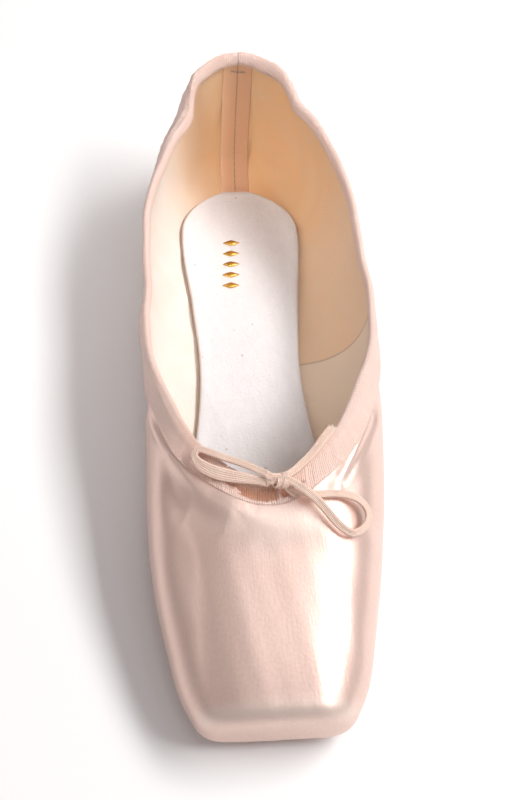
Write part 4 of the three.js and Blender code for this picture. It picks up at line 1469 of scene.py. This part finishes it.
def stitches(settings):
    """The rows a stitcher leaves: binding hem, inner hem, outsole channel, back seam, bar tack."""
    tree = stitch_tree()
    pale = thread_look("pale thread", settings.binding)
    waxed = thread_look("waxed thread", (0.62, 0.46, 0.32))
    grey = thread_look("seam thread", (0.34, 0.25, 0.20))
    loops = np.linspace(0, 1, HEM_STEPS)
    down, inner_down = np.full_like(loops, BINDING_WIDTH - 1.0), np.full_like(loops, BINDING_TURN - 0.8)
    out = band_face(loops, down, BINDING_FAR)
    inner_out = -cloth_wall(collar_along(loops), 0.0) - BINDING_FAR + binding_wave(loops)[0]
    for name, seed, level, face in (
        ("hem_stitches", 1, down, out),
        ("inner_hem_stitches", 2, inner_down, inner_out),
    ):
        hem = on_last(loops, from_collar(loops, level), face + rim_pull(collar_place(loops), level))
        stitch_row(tree, name, hem, pale, seed, **HEM_STITCH)
    along = np.linspace(OUTSOLE_START + 4.5, OUTSOLE_END - 4.5, CHANNEL_STEPS)
    half = np.maximum(plate_half(OUTSOLE, OUTSOLE_START, OUTSOLE_END, along) - SOLE_CHANNEL - 0.3, 0)
    x = np.concatenate([half, -half[::-1], half[:1]])
    along = np.concatenate([along, along[::-1], along[:1]])
    channel = np.stack([x, along - MIDDLE, tread(x, along) + 0.34], 1)
    stitch_row(tree, "channel_stitches", channel, waxed, 3, Pitch=4.2, Length=3.0, Thickness=0.55)
    seam = heel_strip(np.linspace(0.17, 0.95, 60), [0.0], BACK_SEAM_LEVEL)[:, 0]
    stitch_row(tree, "back_seam_stitches", seam, grey, 4, Pitch=2.3, Length=1.5, Thickness=0.26)
    tack = heel_strip(np.array([0.925, 0.937]), np.linspace(-2.7, 2.7, TACK_STEPS), TACK_LEVEL)
    tack = [tack[k % 2, k] for k in range(TACK_STEPS)]
    stitch_row(tree, "bar_tack", tack, grey, 5, Pitch=0.45, Length=0.6, Thickness=0.2)


# ---------------------------------------------------------------- stage

# The lens and the camera's place round the shoe, in metres, degrees and millimetres of lens.
CAMERA_TARGET = (-0.00038, -0.00183, 0.020)
CAMERA_DISTANCE = 0.51008
CAMERA_ELEVATION = math.radians(59.49)
CAMERA_AZIMUTH = math.radians(-8.54)
CAMERA_ROLL = math.radians(5.39)
CAMERA_LENS = 100.43
CAMERA_SENSOR = 36
FLOOR_REACH = 1.6
FLOOR_COLOUR = (0.975, 0.975, 0.98)
SKY_COLOUR, SKY_STRENGTH = (1.0, 0.935, 0.925, 1), 0.26
LIGHTS = [
    # name, azimuth, elevation, distance, size, power, colour, and for one what it looks at and its spread
    ("key", 96, 52, 1.8, (1.36, 0.46), 31.5, (1.0, 0.995, 0.985)),
    ("top", 22, 79, 1.0, (0.24, 0.34), 0.65, (1.0, 0.98, 0.97)),
    ("throat", 62, 70, 1.0, (0.10, 0.12), 0.22, (1.0, 0.98, 0.97)),
    ("left", -92, 38, 1.0, (0.55, 0.09), 0.5, (1.0, 0.97, 0.96)),
    ("back", 160, 50, 1.0, (0.34, 0.18), 0.36, (1.0, 0.98, 0.96)),
    ("heel", -25, 50, 0.8, (0.12, 0.12), 0.021, (1.0, 0.95, 0.91), (0, 0.09, 0.025), 18),
]


def towards(azimuth, elevation):
    """The way from the shoe to a place round it; azimuth 0 is in front of the toe."""
    flat = math.cos(elevation)
    return Vector((math.sin(azimuth) * flat, -math.cos(azimuth) * flat, math.sin(elevation)))


def place_camera():
    """The camera, turned a little about its own line of sight."""
    back = towards(CAMERA_AZIMUTH, CAMERA_ELEVATION)
    right = Vector((-back.y, back.x, 0)).normalized()
    up = back.cross(right)
    turned = right * math.cos(CAMERA_ROLL) + up * math.sin(CAMERA_ROLL)
    risen = up * math.cos(CAMERA_ROLL) - right * math.sin(CAMERA_ROLL)
    camera = bpy.data.objects.new("camera", bpy.data.cameras.new("camera"))
    camera.data.sensor_fit = "HORIZONTAL"
    camera.data.sensor_width = CAMERA_SENSOR
    camera.data.lens = CAMERA_LENS
    camera.data.clip_start, camera.data.clip_end = 0.01, 20
    stand = Matrix.Translation(Vector(CAMERA_TARGET) + back * CAMERA_DISTANCE)
    camera.matrix_world = stand @ Matrix((turned, risen, back)).transposed().to_4x4()
    bpy.context.scene.collection.objects.link(camera)
    bpy.context.scene.camera = camera


def soft_light(name, azimuth, elevation, distance, size, power, colour, looks_at=(0, 0, 0.03), spread=180):
    """A soft box aimed at a spot on the shoe; its grid may narrow the beam."""
    back = towards(math.radians(azimuth), math.radians(elevation))
    lamp = bpy.data.lights.new(name, "AREA")
    lamp.shape = "RECTANGLE"
    lamp.size, lamp.size_y = size
    lamp.energy = power
    lamp.color = colour
    lamp.spread = math.radians(spread)
    holder = bpy.data.objects.new(name, lamp)
    holder.location = Vector(looks_at) + back * distance
    holder.rotation_mode = "QUATERNION"
    holder.rotation_quaternion = back.to_track_quat("Z", "Y")
    bpy.context.scene.collection.objects.link(holder)


def stage(settings):
    """Floor, soft lights and camera."""
    place_camera()
    mesh = bpy.data.meshes.new("floor")
    corners = [(x * FLOOR_REACH, y * FLOOR_REACH, 0) for x, y in ((-1, -1), (1, -1), (1, 1), (-1, 1))]
    mesh.from_pydata(corners, [], [(0, 1, 2, 3)])
    floor = bpy.data.objects.new("floor", mesh)
    bpy.context.scene.collection.objects.link(floor)
    give(floor, Look("pale floor", FLOOR_COLOUR, 0.9, Specular_IOR_Level=0.1))
    world = bpy.data.worlds.new("studio")
    bpy.context.scene.world = world
    world.use_nodes = True
    sky = world.node_tree.nodes["Background"]
    sky.inputs["Color"].default_value = SKY_COLOUR
    sky.inputs["Strength"].default_value = SKY_STRENGTH
    for light in LIGHTS:
        soft_light(*light)
    bpy.context.scene.view_settings.view_transform = "Standard"


# ---------------------------------------------------------------- add-on


def colour(name, description, default):
    """A setting that holds a colour."""
    return FloatVectorProperty(name=name, description=description, subtype="COLOR", size=4, min=0, max=1,
                               default=(*default, 1))


class PointeShoeSettings(bpy.types.PropertyGroup):
    """The colours and sizes that a user would change."""

    satin: colour("Satin", "Colour of the satin upper", (0.87, 0.648, 0.574))
    lining: colour("Lining", "Colour of the cotton lining", (0.95, 0.885, 0.835))
    stay_tape: colour("Stay tape", "Colour of the tape over the back seam", (0.80, 0.49, 0.31))
    binding: colour("Binding", "Colour of the ribbed collar binding", (0.93, 0.71, 0.635))
    drawstring: colour("Drawstring", "Colour of the drawstring tape", (1.0, 0.77, 0.665))
    sock: colour("Sock", "Colour of the suede sock", (0.78, 0.772, 0.79))
    sole: colour("Outsole", "Colour of the leather outsole", (0.62, 0.45, 0.32))
    foil: colour("Foil", "Colour of the stamped lozenges", (0.83, 0.52, 0.13))
    tape_width: FloatProperty(name="Tape width", description="Width of the drawstring tape",
                              default=0.0026, min=0.0015, max=0.005, unit="LENGTH")
    rib_pitch: FloatProperty(name="Rib pitch", description="Distance between the binding's ribs",
                             default=0.0007, min=0.0003, max=0.002, unit="LENGTH")
    pleats: IntProperty(name="Pleats", description="Pleats of satin under the toe",
                        default=24, min=8, max=40)


class POINTE_OT_stage(bpy.types.Operator):
    """Floor, soft lights and camera"""

    bl_idname = "pointe.stage"
    bl_label = "Stage"

    def execute(self, context):
        stage(context.scene.pointe_shoe)
        return {"FINISHED"}


class POINTE_OT_drawstring(bpy.types.Operator):
    """Two loops, a free end and the knot"""

    bl_idname = "pointe.drawstring"
    bl_label = "Drawstring bow"

    def execute(self, context):
        drawstring(context.scene.pointe_shoe)
        return {"FINISHED"}


class POINTE_OT_satin(bpy.types.Operator):
    """The outer cloth with its folds and pleats"""

    bl_idname = "pointe.satin"
    bl_label = "Satin upper"

    def execute(self, context):
        satin_upper(context.scene.pointe_shoe)
        return {"FINISHED"}


class POINTE_OT_lining(bpy.types.Operator):
    """The cotton lining and its back tape"""

    bl_idname = "pointe.lining"
    bl_label = "Lining"

    def execute(self, context):
        lining(context.scene.pointe_shoe)
        heel_tape(context.scene.pointe_shoe)
        return {"FINISHED"}


class POINTE_OT_binding(bpy.types.Operator):
    """The ribbed band and drawstring casing"""

    bl_idname = "pointe.binding"
    bl_label = "Collar binding"

    def execute(self, context):
        collar_binding(context.scene.pointe_shoe)
        return {"FINISHED"}


class POINTE_OT_sock(bpy.types.Operator):
    """The suede sock and its stamped lozenges"""

    bl_idname = "pointe.sock"
    bl_label = "Sock"

    def execute(self, context):
        sock(context.scene.pointe_shoe)
        foil_marks(context.scene.pointe_shoe)
        return {"FINISHED"}


class POINTE_OT_sole(bpy.types.Operator):
    """The stitched leather outsole"""

    bl_idname = "pointe.sole"
    bl_label = "Outsole"

    def execute(self, context):
        outsole(context.scene.pointe_shoe)
        return {"FINISHED"}


class POINTE_OT_stitches(bpy.types.Operator):
    """Every row of stitches"""

    bl_idname = "pointe.stitches"
    bl_label = "Stitches"

    def execute(self, context):
        stitches(context.scene.pointe_shoe)
        return {"FINISHED"}


OPERATORS = (
    POINTE_OT_stage, POINTE_OT_drawstring, POINTE_OT_satin, POINTE_OT_lining,
    POINTE_OT_binding, POINTE_OT_sock, POINTE_OT_sole, POINTE_OT_stitches,
)


class POINTE_PT_pieces(bpy.types.Panel):
    """The settings, and a button for each piece."""

    bl_label = "Pointe Shoe"
    bl_space_type = "VIEW_3D"
    bl_region_type = "UI"
    bl_category = "Pointe Shoe"

    def draw(self, context):
        for name in PointeShoeSettings.__annotations__:
            self.layout.prop(context.scene.pointe_shoe, name)
        for operator in OPERATORS:
            self.layout.operator(operator.bl_idname)


CLASSES = (PointeShoeSettings, *OPERATORS, POINTE_PT_pieces)


def register():
    for made in CLASSES:
        bpy.utils.register_class(made)
    bpy.types.Scene.pointe_shoe = PointerProperty(type=PointeShoeSettings)


def unregister():
    del bpy.types.Scene.pointe_shoe
    for made in reversed(CLASSES):
        bpy.utils.unregister_class(made)


def main():
    register()
    bpy.ops.pointe.stage()
    bpy.ops.pointe.drawstring()
    bpy.ops.pointe.satin()
    bpy.ops.pointe.lining()
    bpy.ops.pointe.binding()
    bpy.ops.pointe.sock()
    bpy.ops.pointe.sole()
    bpy.ops.pointe.stitches()


if __name__ == "__main__":
    main()
